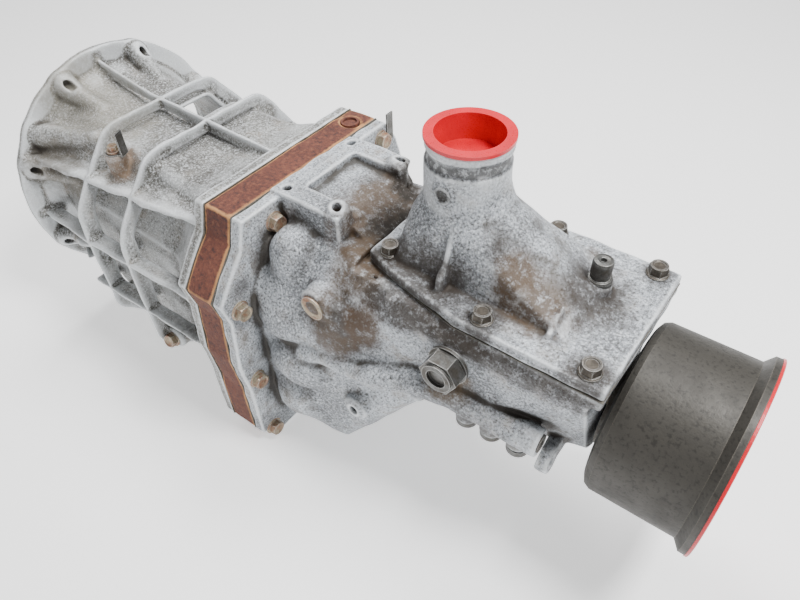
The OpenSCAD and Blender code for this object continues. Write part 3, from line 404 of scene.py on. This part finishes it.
def rod(p, q, r, edge):
    """Flat-ended rod between two points with rounded edges."""
    p, q = np.array(p, float), np.array(q, float)
    length = np.linalg.norm(q - p)
    axis = (q - p) / length

    def distance(x, y, z):
        along = (x - p[0]) * axis[0] + (y - p[1]) * axis[1] + (z - p[2]) * axis[2]
        square = (x - p[0]) ** 2 + (y - p[1]) ** 2 + (z - p[2]) ** 2
        out = np.sqrt(np.maximum(square - along ** 2, 0))
        side = out - r + edge
        end = np.abs(along - length / 2) - length / 2 + edge
        return np.hypot(np.maximum(side, 0), np.maximum(end, 0)) + np.minimum(np.maximum(side, end), 0) - edge
    return *bounds_of([p, q], r), distance


def capsule(p, q, r, r2=None):
    """Round-ended rod that may taper."""
    p, q = np.array(p, float), np.array(q, float)
    r2 = r if r2 is None else r2
    run = q - p
    span = run @ run

    def distance(x, y, z):
        t = ((x - p[0]) * run[0] + (y - p[1]) * run[1] + (z - p[2]) * run[2]) / span
        t = np.clip(t, 0, 1)
        dx, dy, dz = (v - start - t * way for v, start, way in zip((x, y, z), p, run))
        return np.sqrt(dx ** 2 + dy ** 2 + dz ** 2) - (r + (r2 - r) * t)
    return *bounds_of([p, q], max(r, r2)), distance


def block(low, high, edge):
    """Box between two corners with rounded edges."""
    low, high = np.array(low, float), np.array(high, float)
    centre, half = (low + high) / 2, (high - low) / 2 - edge

    def distance(x, y, z):
        a, b, c = (np.abs(v - m) - h for v, m, h in zip((x, y, z), centre, half))
        outside = np.sqrt(np.maximum(a, 0) ** 2 + np.maximum(b, 0) ** 2 + np.maximum(c, 0) ** 2)
        return outside + np.minimum(np.maximum(np.maximum(a, b), c), 0) - edge
    return low, high, distance


def dome(centre, radii):
    """Ellipsoid with its radii along the axes."""
    centre, radii = np.array(centre, float), np.array(radii, float)

    def distance(x, y, z):
        a, b, c = ((v - m) / r for v, m, r in zip((x, y, z), centre, radii))
        k = np.sqrt(a ** 2 + b ** 2 + c ** 2)
        return (k - 1) * radii.min()
    return centre - radii, centre + radii, distance


def groove(centre, r, low, high):
    """Everything outside an upright round bar between two levels, for a groove around it."""
    reach = 60

    def distance(x, y, z):
        out = r - np.hypot(x - centre[0], y - centre[1])
        return np.maximum(out, np.abs(z - (low + high) / 2) - (high - low) / 2)
    return (centre[0] - reach, centre[1] - reach, low), (centre[0] + reach, centre[1] + reach, high), distance


def web(points, t, edge=1.0):
    """Flat plate of thickness t with a convex outline in one plane, for ribs and gussets."""
    points = np.array(points, float)
    normal = np.cross(points[1] - points[0], points[2] - points[1])
    normal /= np.linalg.norm(normal)
    centre = points.mean(0)

    def distance(x, y, z):
        away = (x - centre[0]) * normal[0] + (y - centre[1]) * normal[1] + (z - centre[2]) * normal[2]
        result = np.abs(away) - t / 2
        for a, b in zip(points, np.roll(points, -1, 0)):
            out = np.cross(b - a, normal)
            out /= np.linalg.norm(out)
            out *= np.sign((a - centre) @ out)
            result = smooth_max(result, (x - a[0]) * out[0] + (y - a[1]) * out[1] + (z - a[2]) * out[2], edge)
        return result
    return *bounds_of(points, t), distance


def smooth_max(a, b, k):
    """The larger of two distances, with a rounding of reach k where they meet."""
    return -smooth_min(-a, -b, k)


# ---------------------------------------------------------------- castings
# Colours of stains, one of them also painted as shade in a hole, and of the clean and the dull metal
OIL_AND_PAINTED_SHADE = (0.022, 0.017, 0.012)
BROWN = (0.088, 0.055, 0.03)
UMBER = (0.034, 0.025, 0.018)
LIGHT = (0.46, 0.49, 0.525)
DARK = (0.215, 0.228, 0.245)

front_metal = cast_metal("front_case_aluminium", (0.34, 0.34, 0.325), (0.145, 0.14, 0.127), [
    ((60, -60, 150), 60, (0.5, 1, 1), (0.33, 0.31, 0.26), 0.6),
    ((60, -140, 60), 50, (1, 1, 1), (0.16, 0.14, 0.11), 0.7),
    ((178, -108, 110), 26, (1, 1, 1), (0.2, 0.13, 0.08), 0.8),
    ((330, -120, -60), 60, (1, 1, 0.5), UMBER, 0.6)])
rear_metal = cast_metal("rear_case_aluminium", LIGHT, DARK, [
    ((524, 0, 118), 44, (1, 0.6, 1), BROWN, 0.9),
    ((518, 52, 122), 24, (1, 1, 1), OIL_AND_PAINTED_SHADE, 0.95),
    ((563, -30, 100), 40, (1, 0.7, 1), OIL_AND_PAINTED_SHADE, 0.98),
    ((563, 10, 100), 40, (1, 0.7, 1), OIL_AND_PAINTED_SHADE, 0.98),
    ((552, -84, 104), 34, (1, 0.7, 1), (0.10, 0.064, 0.036), 0.85),
    ((548, -118, 44), 34, (0.7, 1, 1), UMBER, 0.9),
    ((578, -116, 58), 24, (1, 1, 0.7), (0.08, 0.05, 0.03), 0.9),
    ((522, -124, 60), 22, (1, 1, 1), BROWN, 0.8),
    ((541, -124, 20), 26, (1, 1, 1), BROWN, 0.7),
    ((446, -150, 60), 20, (1, 1, 1), UMBER, 0.7),
    ((640, -100, 92), 40, (0.45, 1, 2), UMBER, 0.85),
    ((740, -96, 92), 60, (0.5, 1, 2.6), UMBER, 0.8),
    ((682, -104, 30), 26, (1, 1, 1), (0.14, 0.1, 0.06), 0.85),
    ((720, -80, -30), 56, (0.7, 1, 1), UMBER, 0.7)])
cover_metal = cast_metal("cover_aluminium", LIGHT, DARK, [
    ((690, -40, 180), 13, (1, 0.7, 0.45), UMBER, 0.85),
    ((712, -42, 146), 20, (1, 0.8, 0.6), BROWN, 0.9),
    ((732, -38, 118), 34, (0.8, 1, 1), (0.09, 0.058, 0.033), 0.9),
    ((772, 8, 112), 42, (1, 1, 1), UMBER, 0.85),
    ((748, 56, 112), 20, (1, 1, 1), BROWN, 0.7),
    ((571, -52, 112), 22, (1, 1, 1), OIL_AND_PAINTED_SHADE, 0.85),
    ((620, -66, 112), 40, (0.6, 1, 1), UMBER, 0.85),
    ((701, -80, 112), 22, (1, 1, 1), UMBER, 0.8),
    ((812, -80, 112), 24, (1, 1, 1), UMBER, 0.85),
    ((812, 80, 112), 18, (1, 1, 1), UMBER, 0.6),
    # Painted shade: a near-black band over the turret's groove, and near-black in the plug's hole below it
    ((630, 0, 231), 62, (1, 1, 6.5), (0.035, 0.032, 0.03), 0.85),
    ((630, -46, 205), 9, (1, 1, 1), OIL_AND_PAINTED_SHADE, 0.9),
    ((590, -6, 150), 26, (1, 1, 0.7), UMBER, 0.6)])
rust = rusty_metal("rusted_iron")

# The front case's skin: corner circles of its sections as (y, z), at stations along the shafts
BELL_X, MID_X, END_X = 8, 120, 356
BELL_R, CORNER_R = 148, 28
MID_CORNERS = [(-72, 100), (-130, 36), (-130, -105), (-80, -152), (70, -152), (118, -100), (118, 36), (66, 100)]
END_CORNERS = [(-92, 92), (-136, 30), (-134, -150), (-95, -176), (90, -176), (120, -140), (120, 36), (86, 92)]
RINGS = (140, 232)
NEAR_RIBS = (71.5, -13.5, -100.5)
FAR_RIBS = (58, -30)
RIB_SLOPE = math.tan(math.radians(5))
RIB_T = 7
WALL = 7
CLUTCH_SPACE_END_X = 110

# A distance that leaves a shape out of a region
NOWHERE = 300

# Places that the cases share with their CAD solids
EAR_CIRCLE_R, EAR_HOLE_R = 164, 5.5
CLIP_BOSS_X, CLIP_BOSS_Y = 178, -108
FILL_PLUG_X, FILL_PLUG_Z = 519.6, 60
SIDE_BOSS_X, SIDE_BOSS_Z = 571.6, -76
PAD_HOLES_X, PAD_HOLES_Y = (431, 505), (-56.5, 56.5)
TURRET_BORE_R = 37


def section(x):
    """Corner centres and corner radius of the front case's skin at a station."""
    mid, end = np.array(MID_CORNERS, float), np.array(END_CORNERS, float)
    if x < MID_X:
        t = np.clip((x - BELL_X) / (MID_X - BELL_X), 0.001, 1)
        return mid * t, BELL_R + (CORNER_R - BELL_R) * t
    t = min((x - MID_X) / (END_X - MID_X), 1)
    return mid + (end - mid) * t, CORNER_R


def skin_distance(xs, y, z):
    """Distance to the front case's skin in each slice along the shafts."""
    slices = []
    for x in xs.ravel():
        corners, radius = section(float(x))
        near, inside = None, None
        for a, b in zip(corners, np.roll(corners, -1, 0)):
            edge = b - a
            py, pz = y[0] - a[0], z[0] - a[1]
            t = np.clip((py * edge[0] + pz * edge[1]) / (edge @ edge), 0, 1)
            gap = (py - t * edge[0]) ** 2 + (pz - t * edge[1]) ** 2
            left = edge[0] * pz - edge[1] * py > 0
            near = gap if near is None else np.minimum(near, gap)
            inside = left if inside is None else inside & left
        slices.append(np.where(inside, -1, 1) * np.sqrt(near) - radius)
    return np.array(slices, np.float32)


def step(value, low, high):
    """Smooth step from 0 to 1 between two limits."""
    t = np.clip((value - low) / (high - low), 0, 1)
    return t * t * (3 - 2 * t)


def front_case():
    """Clutch housing with deep pockets between its ribs, and bosses behind the engine flange."""
    case = Casting("front_case", 2.0, margin=6)
    at, (x, y, z) = case.cells((14, -999, -999), (352, 999, 999))
    skin = skin_distance(x, y, z)
    deck = NEAR_RIBS[0] + RIB_SLOPE * x
    depth = 9 + 15 * step(deck - z, 0, 10) * step(-y, 60, 95) + 3 * step(y, 60, 90)
    depth = depth * step(350 - x, 4, 60) * step(x, 10, 40)
    ribs = np.abs(y) - RIB_T / 2 + NOWHERE * (z < 0)
    for ring in RINGS:
        ribs = np.minimum(ribs, np.abs(x - ring) - RIB_T / 2)
    for low in NEAR_RIBS:
        ribs = np.minimum(ribs, np.abs(z - low - RIB_SLOPE * x) - RIB_T / 2 + NOWHERE * (y > -50))
    for level in FAR_RIBS:
        ribs = np.minimum(ribs, np.abs(z - level) - RIB_T / 2 + NOWHERE * (y < 50))
    kept = smooth_min(skin + depth, ribs.astype(np.float32), 8)
    field = smooth_max(case.field[at], kept, 3)
    liner = np.maximum(skin + depth, -(skin + depth + WALL))
    case.field[at] = smooth_min(field, liner, 3)

    # Boss of the wire clip, swells along the near side and the boss of the low bolt
    case.add(rod((CLIP_BOSS_X, CLIP_BOSS_Y, 70), (CLIP_BOSS_X, CLIP_BOSS_Y, 122), 13, 2), 8)
    case.add(capsule((14, -120, 98), (110, -92, 112), 15, 9), 16)
    case.add(capsule((60, -142, -60), (110, -118, -56), 12, 8), 12)
    case.add(rod((244, -110, -142), (246, -156, -140), 17, 3), 8)

    # Eight bosses behind the engine flange's holes
    for i in range(8):
        angle = math.radians(22.5 + 45 * i)
        y0, z0 = -EAR_CIRCLE_R * math.sin(angle), EAR_CIRCLE_R * math.cos(angle)
        case.add(capsule((14, y0 * 0.97, z0 * 0.97), (74, y0 * 0.8, z0 * 0.8), 17, 9), 9)
        case.cut(rod((-4, y0, z0), (40, y0, z0), EAR_HOLE_R, 0.5), 1)

    # The space for the clutch, its window on the far side and its slot on the near side
    clutch_space = -(skin + depth + WALL + 1) - NOWHERE * (x > CLUTCH_SPACE_END_X)
    np.maximum(case.field[at], clutch_space, out=case.field[at])
    case.cut(block((147, 14, 24), (192, 230, 230), 3), 3)
    case.cut(block((48, -230, -100), (100, -80, -58), 4), 3)
    case.cut(rod((-20, 0, 0), (14, 0, 0), 139, 1), 2)
    case.soften(1)
    case.roughen(0.7)
    case.trim(0, front_end, 1)
    case.trim(0, 0, -1)
    case.shell("front_casting", front_metal)


def middle_plate():
    """Cast-iron plate between the two cases."""
    plate = Casting("intermediate_plate", 2.0, margin=4)
    plate.soften(1)
    plate.roughen(0.9)
    plate.shell("plate_casting", rust)


def rear_case():
    """Rear case with its bulges, its ridges into the rail tube and the open pocket inside its top pad."""
    case = Casting("rear_case", 1.6, margin=8)

    # Top pad and its rear corners
    case.add(block((430, -68, 128), (505, 68, 142), 2), 3)
    case.add(capsule((502, 54, 118), (502, 54, 135), 15), 3)
    case.add(capsule((502, -54, 112), (502, -54, 135), 15), 3)

    # Near side: bulges, the fill plug's boss, ridges towards the rail tube and the side boss's root
    case.add(dome((462, -82, 80), (30, 36, 36)), 10)
    case.add(dome((466, -112, 10), (44, 34, 34)), 9)
    case.add(dome((486, -112, -52), (52, 42, 38)), 10)
    case.add(dome((470, -116, -128), (40, 34, 40)), 12)
    case.add(capsule((FILL_PLUG_X, -84, FILL_PLUG_Z), (FILL_PLUG_X, -106, FILL_PLUG_Z), 26, 19), 7)
    case.add(capsule((FILL_PLUG_X, -112, FILL_PLUG_Z), (600, -96, 40), 17, 9), 9)
    case.add(capsule((500, -134, -20), (600, -124, -6), 6, 10), 9)
    case.add(capsule((596, -124, -4), (668, -100, 4), 10, 15), 10)
    case.add(capsule((SIDE_BOSS_X, -122, SIDE_BOSS_Z), (590, -80, -56), 16, 28), 9)
    case.add(capsule((560, -100, -20), (640, -98, -34), 5, 7), 7)

    # Far side: bulges and two gussets behind the joint flange, and one gusset under the case
    case.add(dome((468, 96, 30), (46, 34, 50)), 12)
    case.add(dome((476, 84, -90), (50, 40, 56)), 14)
    case.add(capsule((560, 70, 60), (620, 74, 74), 22, 12), 12)
    for z0, z1 in ((40, 30), (-70, -52)):
        case.add(web([(430, 150, z0), (430, 70, z0), (520, 70, z1), (510, 96, z1)], 7), 6)
    case.add(web([(430, 0, -206), (430, 0, -150), (540, 0, -150), (520, 0, -196)], 8), 6)

    # Side boss with its tapped hole, and upright webs from the cover's flange to the rail tube
    case.add(rod((SIDE_BOSS_X, -100, SIDE_BOSS_Z), (SIDE_BOSS_X, -132, SIDE_BOSS_Z), 14, 2), 3)
    case.cut(rod((SIDE_BOSS_X, -150, SIDE_BOSS_Z), (SIDE_BOSS_X, -116, SIDE_BOSS_Z), 5.1, 0.5), 1)
    for x0, y0 in ((600, -96), (726, -92)):
        case.add(web([(x0, y0, 96), (x0, -60, 96), (x0, -60, 20), (x0, y0 - 4, 14)], 7), 5)

    # Open pocket from the pad back to the cover, and its sloping floor
    case.cut(block((447, -42, 126), (540, 42, 180), 5), 2)
    case.cut(capsule((524, 0, 148), (570, 0, 120), 36, 34), 6)
    case.cut(capsule((524, 70, 128), (560, 62, 116), 15, 16), 5)
    case.add(web([(440, 0, 133), (440, 0, 97.5), (604, 0, 97.5), (548, 0, 98.5), (506, 0, 129)], 96), 4)
    case.add(web([(500, 0, 98), (500, 0, 90), (604, 0, 90), (604, 0, 98)], 156), 2)

    for x0 in PAD_HOLES_X:
        for y0 in PAD_HOLES_Y:
            case.cut(rod((x0, y0, 118), (x0, y0, 150), 5, 0.5), 0.5)
    case.soften(1)
    case.roughen(0.9, seed=7)
    case.trim(0, rear_start, -1)
    case.shell("rear_casting", rear_metal)


def control_cover():
    """Control cover whose cone flows into the lever turret."""
    cover = Casting("control_cover", 1.5, margin=6)
    cover.add(capsule((turret_x + 24, 0, 158), (turret_x + 128, 0, 104), 38, 26), 16)
    cover.add(capsule((turret_x - 22, -16, 150), (turret_x - 34, -30, 112), 30, 26), 12)
    cover.add(web([(643, -42, 178), (645, -76, 112), (645, -76, 106), (645, -20, 106), (643, -20, 178)], 6), 4)
    cover.add(web([(762, -36, 134), (762, -68, 112), (762, -68, 106), (762, -30, 106)], 5), 3)
    cover.cut(rod((turret_x, 0, 90), (turret_x, 0, 260), TURRET_BORE_R, 0.5), 0.5)
    cover.soften(2)
    cover.cut(groove((turret_x, 0), 41.2, 225, 238), 1)
    cover.cut(rod((turret_x, -60, 205), (turret_x, -43.5, 205), 6, 1), 1)
    cover.roughen(0.5, seed=11)
    cover.shell("cover_casting", cover_metal)


front_case()
middle_plate()
rear_case()
control_cover()


# ---------------------------------------------------------------- hardware
def islands(node):
    """Boxes of a node's separate solids in millimetres, as (lowest corner, highest corner)."""
    mesh = nodes[node].data
    root, at = {}, [tuple(round(c / MM, 2) for c in v.co) for v in mesh.vertices]

    def find(key):
        while root.setdefault(key, key) != key:
            key = root[key]
        return key
    for edge in mesh.edges:
        a, b = (find(at[i]) for i in edge.vertices)
        root[a] = b
    groups = {}
    for key in set(at):
        groups.setdefault(find(key), []).append(key)
    boxes = [(np.min(g, axis=0), np.max(g, axis=0)) for g in groups.values()]
    return sorted(boxes, key=lambda box: tuple(box[0]))


def turned(profile, place, axis=(0, 0, 1), loop=False, sides=48):
    """A turned shape's points and faces.

    A ring of its profile is a radius, a height and, on a hexagon, half the width across flats.
    """
    turn = Vector(axis).to_track_quat("Z", "Y").to_matrix()
    points, faces = [], []
    for radius, height, *flat in profile:
        for i in range(sides):
            a = 2 * math.pi * i / sides
            r = min([radius] + [f / math.cos(a % (math.pi / 3) - math.pi / 6) for f in flat])
            points.append((Vector(place) + turn @ Vector((r * math.cos(a), r * math.sin(a), height))) * MM)
    rings = len(profile)
    for j in range(rings if loop else rings - 1):
        for i in range(sides):
            k = (i + 1) % sides
            low, high = j * sides, (j + 1) % rings * sides
            faces.append((low + i, low + k, high + k, high + i))
    if not loop:
        faces += [tuple(range(sides))[::-1], tuple(range((rings - 1) * sides, rings * sides))]
    return points, faces


def build(name, shapes, material, body="case", node=None, round_off=0.5):
    """Joins shapes into one piece with rounded hard edges."""
    points, faces = [], []
    for more, loops in shapes:
        faces += [tuple(i + len(points) for i in loop) for loop in loops]
        points += more
    mesh = bpy.data.meshes.new(name)
    mesh.from_pydata(points, [], faces)
    mesh.materials.append(material)
    piece = bpy.data.objects.new(name, mesh)
    bpy.context.scene.collection.objects.link(piece)
    soften_edges(piece, round_off)
    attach(piece, body)
    if node:
        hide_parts(node)
    return piece


def soften_edges(piece, width):
    """Rounds a piece's hard edges with a bevel that hardens their normals."""
    bevel = piece.modifiers.new("edges", "BEVEL")
    bevel.width = width * MM
    bevel.segments = 2
    bevel.limit_method = "ANGLE"
    bevel.angle_limit = math.radians(35)
    bevel.harden_normals = True


def hex_head(r, h):
    """Profile of a bolt head with a washer face, a chamfer and a dished top, for a washer of radius r."""
    flat = 0.76 * r
    corner = flat / math.cos(math.pi / 6)
    return [(r, 0), (r, 1.4), (0.86 * r, 2.6), (corner, 2.6, flat), (corner, h - 1.8, flat), (flat, h, flat),
            (0.62 * r, h + 0.1), (0.52 * r, h - 0.9), (0.1, h - 1.0)]


zinc = plain_metal(
    "zinc_bolts", (0.36, 0.31, 0.22), (0.26, 0.115, 0.065), metallic=0.7, rough=(0.34, 0.6),
    grain=420, patch=90, amount=0.9, lumps=0.0003)
dark_bolts = plain_metal(
    "oily_bolts", (0.10, 0.085, 0.068), (0.032, 0.026, 0.02), metallic=0.6, rough=(0.35, 0.6),
    grain=420, patch=110, amount=0.8, lumps=0.0004)
dark_steel = plain_metal(
    "dark_steel", (0.12, 0.12, 0.115), (0.06, 0.048, 0.036), metallic=0.75, rough=(0.32, 0.55),
    grain=500, patch=80, amount=0.7, lumps=0.0004)
steel = plain_metal(
    "ground_steel", (0.50, 0.50, 0.49), (0.34, 0.30, 0.25), metallic=0.95, rough=(0.2, 0.36),
    grain=700, patch=50, amount=0.5, lumps=0.00006)
race_steel = plain_metal(
    "race_steel", (0.62, 0.62, 0.62), (0.50, 0.48, 0.45), metallic=1.0, rough=(0.12, 0.25),
    grain=900, patch=40, amount=0.4, lumps=0.00003)
gear_steel = plain_metal(
    "gear_steel", (0.42, 0.41, 0.395), (0.24, 0.19, 0.14), metallic=0.95, rough=(0.22, 0.4),
    grain=600, patch=45, amount=0.6, lumps=0.00008)
brass = plain_metal(
    "ring_brass", (0.62, 0.43, 0.16), (0.42, 0.27, 0.09), metallic=0.95, rough=(0.22, 0.4),
    grain=600, patch=60, amount=0.6, lumps=0.00008, bare=(0.8, 0.62, 0.3))
iron = plain_metal(
    "dark_iron", (0.13, 0.125, 0.115), (0.085, 0.06, 0.04), metallic=0.5, rough=(0.5, 0.75),
    grain=350, patch=40, amount=0.6, lumps=0.0006, bare=(0.4, 0.39, 0.37))
drum_iron = plain_metal(
    "drum_iron", (0.05, 0.046, 0.039), (0.03, 0.027, 0.023), metallic=0.35, rough=(0.45, 0.62),
    grain=260, patch=30, amount=0.5, lumps=0.0004, bare=(0.2, 0.18, 0.15))
paper = soft_material("gasket_paper", (0.075, 0.07, 0.06), (0.15, 0.135, 0.11), 180)
rubber = soft_material("seal_rubber", (0.022, 0.02, 0.02), (0.05, 0.045, 0.04), 140, 0.7)
red = moulded_plastic("red_plastic", (0.62, 0.002, 0.016), (0.5, 0.001, 0.011))

# Each CAD node's finish: by its own name, or else by its material slot
by_slot = {"gasket": paper, "dark_iron": iron, "zinc_steel": zinc, "steel": gear_steel, "oiled_steel": iron,
           "seal_rubber": rubber, "brass": brass, "red_plastic": red, "rusty_iron": iron}
by_node = {"cover_bolts": dark_bolts, "brake_drum": drum_iron, "core_plug": rust, "tube_plug": iron}
by_node |= dict.fromkeys(("breather", "side_switch", "detent_plugs", "wire_clips"), dark_steel)
by_node |= dict.fromkeys(
    ("mainshaft", "low_rail", "high_rail", "fifth_rail", "idler_shaft", "detent_springs"), steel)
by_node |= dict.fromkeys(
    ("input_bearing", "centre_bearing", "rear_bearing", "counter_bearings", "input_inner_race",
     "main_inner_races", "counter_inner_races", "detent_balls"), race_steel)
for part in frame["record"]["subparts"]:
    name = part["node"]
    solid = nodes[name]
    finish = by_node.get(name, by_slot.get(part["material_slot"], gear_steel))
    if not solid.material_slots:
        solid.data.materials.append(finish)
    for slot in solid.material_slots:
        slot.link = "OBJECT"
        slot.material = finish
    if not solid.hide_render:
        soften_edges(solid, 0.3)


def flange_bolts():
    """Bolts through the joint flanges, each with its head at the rear end of its CAD bolt."""
    shapes = []
    for low, high in islands("flange_bolts"):
        y, z = (low[1] + high[1]) / 2, (low[2] + high[2]) / 2
        head = hex_head((high[1] - low[1]) / 2 * 1.1, 11.5)
        shank = [(5.4, 0), (5.4, high[0] - low[0] - 10)]
        shapes.append(turned(head, (high[0] - 11, y, z), (1, 0, 0)))
        shapes.append(turned(shank, (low[0], y, z), (1, 0, 0)))
    build("flange_bolt_set", shapes, zinc, node="flange_bolts")


def cover_bolts():
    """Upright bolts of the control cover, each with its head at the top of its CAD bolt."""
    shapes = []
    for low, high in islands("cover_bolts"):
        x, y = (low[0] + high[0]) / 2, (low[1] + high[1]) / 2
        head = hex_head((high[0] - low[0]) / 2 * 1.08, 12)
        shank = [(4.4, 0), (4.4, high[2] - low[2] - 9)]
        shapes.append(turned(head, (x, y, high[2] - 10)))
        shapes.append(turned(shank, (x, y, low[2])))
    build("cover_bolt_set", shapes, dark_bolts, node="cover_bolts")


def breather():
    """Breather: a stem, a collar and a tall post with a rounded head."""
    low, high = (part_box("breather")[i] / MM for i in (0, 1))
    stem_r, collar_r, post_r = 5.9, 13, 9.6
    profile = [(stem_r, low.z), (stem_r, low.z + 20), (collar_r, low.z + 20), (collar_r, low.z + 27),
               (11.6, low.z + 29), (post_r, low.z + 29.2), (post_r, high.z - 19), (10.3, high.z - 17),
               (10.3, high.z - 5), (9.4, high.z - 2), (6, high.z - 1.5), (3, high.z - 2), (2, high.z - 6)]
    shape = turned(profile, ((low.x + high.x) / 2, (low.y + high.y) / 2, 0))
    build("breather_post", [shape], dark_steel, node="breather")


def drum_cover():
    """Moulded cover in the drum's mouth: a skirt, a flared lip and shallow rings on its face."""
    low, high = (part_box("drum_cover")[i] / MM for i in (0, 1))
    lip_r, face, wall = (high.y - low.y) / 2, high.x, 3
    skirt_r = lip_r - 18.9
    profile = [(skirt_r, low.x), (skirt_r, face - wall), (lip_r, face - wall), (lip_r, face - 0.6),
               (lip_r - 1, face), (lip_r - 8, face), (lip_r - 10, face - 1.4), (62, face - 1.4),
               (60, face - 0.3), (54, face - 0.3), (52, face - 1.4), (24, face - 1.4), (22, face - 0.4),
               (0.2, face - 0.4), (0.2, face - wall), (skirt_r - wall, face - wall), (skirt_r - wall, low.x)]
    shape = turned(profile, (0, 0, 0), (1, 0, 0), loop=True, sides=96)
    build("drum_cover_moulding", [shape], red, body=nodes["drum_cover"]["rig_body"],
          node="drum_cover", round_off=0.3)


def front_side_bolt():
    """Bolt low on the near side of the front case."""
    shape = turned(hex_head(12, 11), (246, -157, -140), (0.1, -0.95, 0.3))
    build("front_side_bolt", [shape], zinc)


flange_bolts()
cover_bolts()
breather()
drum_cover()
front_side_bolt()


# ---------------------------------------------------------------- floor, lights and camera
floor_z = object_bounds()[0][2]
bpy.ops.mesh.primitive_plane_add(size=12, location=(0.45, 0, floor_z))
floor = bpy.context.object
floor.name = "studio_floor"
floor_material, _, floor_shader, _ = new_material("pale_floor")
floor_shader.inputs["Base Color"].default_value = (0.93, 0.93, 0.93, 1)
floor_shader.inputs["Emission Color"].default_value = (1, 1, 1, 1)
floor_shader.inputs["Emission Strength"].default_value = 0.7
floor_shader.inputs["Roughness"].default_value = 0.6
floor.data.materials.append(floor_material)

world = bpy.data.worlds.new("studio")
world.use_nodes = True
world.node_tree.nodes["Background"].inputs["Color"].default_value = (1, 1, 1, 1)
world.node_tree.nodes["Background"].inputs["Strength"].default_value = 0.55
bpy.context.scene.world = world


def soft_light(name, place, aim, size, power):
    """Square area light that looks at a point."""
    data = bpy.data.lights.new(name, "AREA")
    data.size, data.energy = size, power
    lamp = bpy.data.objects.new(name, data)
    lamp.location = place
    lamp.rotation_euler = (Vector(aim) - Vector(place)).to_track_quat("-Z", "Y").to_euler()
    bpy.context.scene.collection.objects.link(lamp)


soft_light("key", (1.4, 0.1, 1.7), (0.45, 0, 0), 0.5, 52)
soft_light("top", (0.0, 0.7, 1.9), (0.45, 0, 0), 0.8, 40)

camera_data = bpy.data.cameras.new("camera")
camera_data.lens = 29.7
camera = bpy.data.objects.new("camera", camera_data)
right = Vector((0.8022, 0.5966, -0.0227))
up = Vector((-0.4088, 0.5767, 0.7073))
forward = Vector((-0.4351, 0.5582, -0.7065))
turn = Matrix((right, up, -forward)).transposed().to_4x4()
camera.matrix_world = Matrix.Translation((0.9041, -0.4646, 0.5703)) @ turn
bpy.context.scene.collection.objects.link(camera)
bpy.context.scene.camera = camera
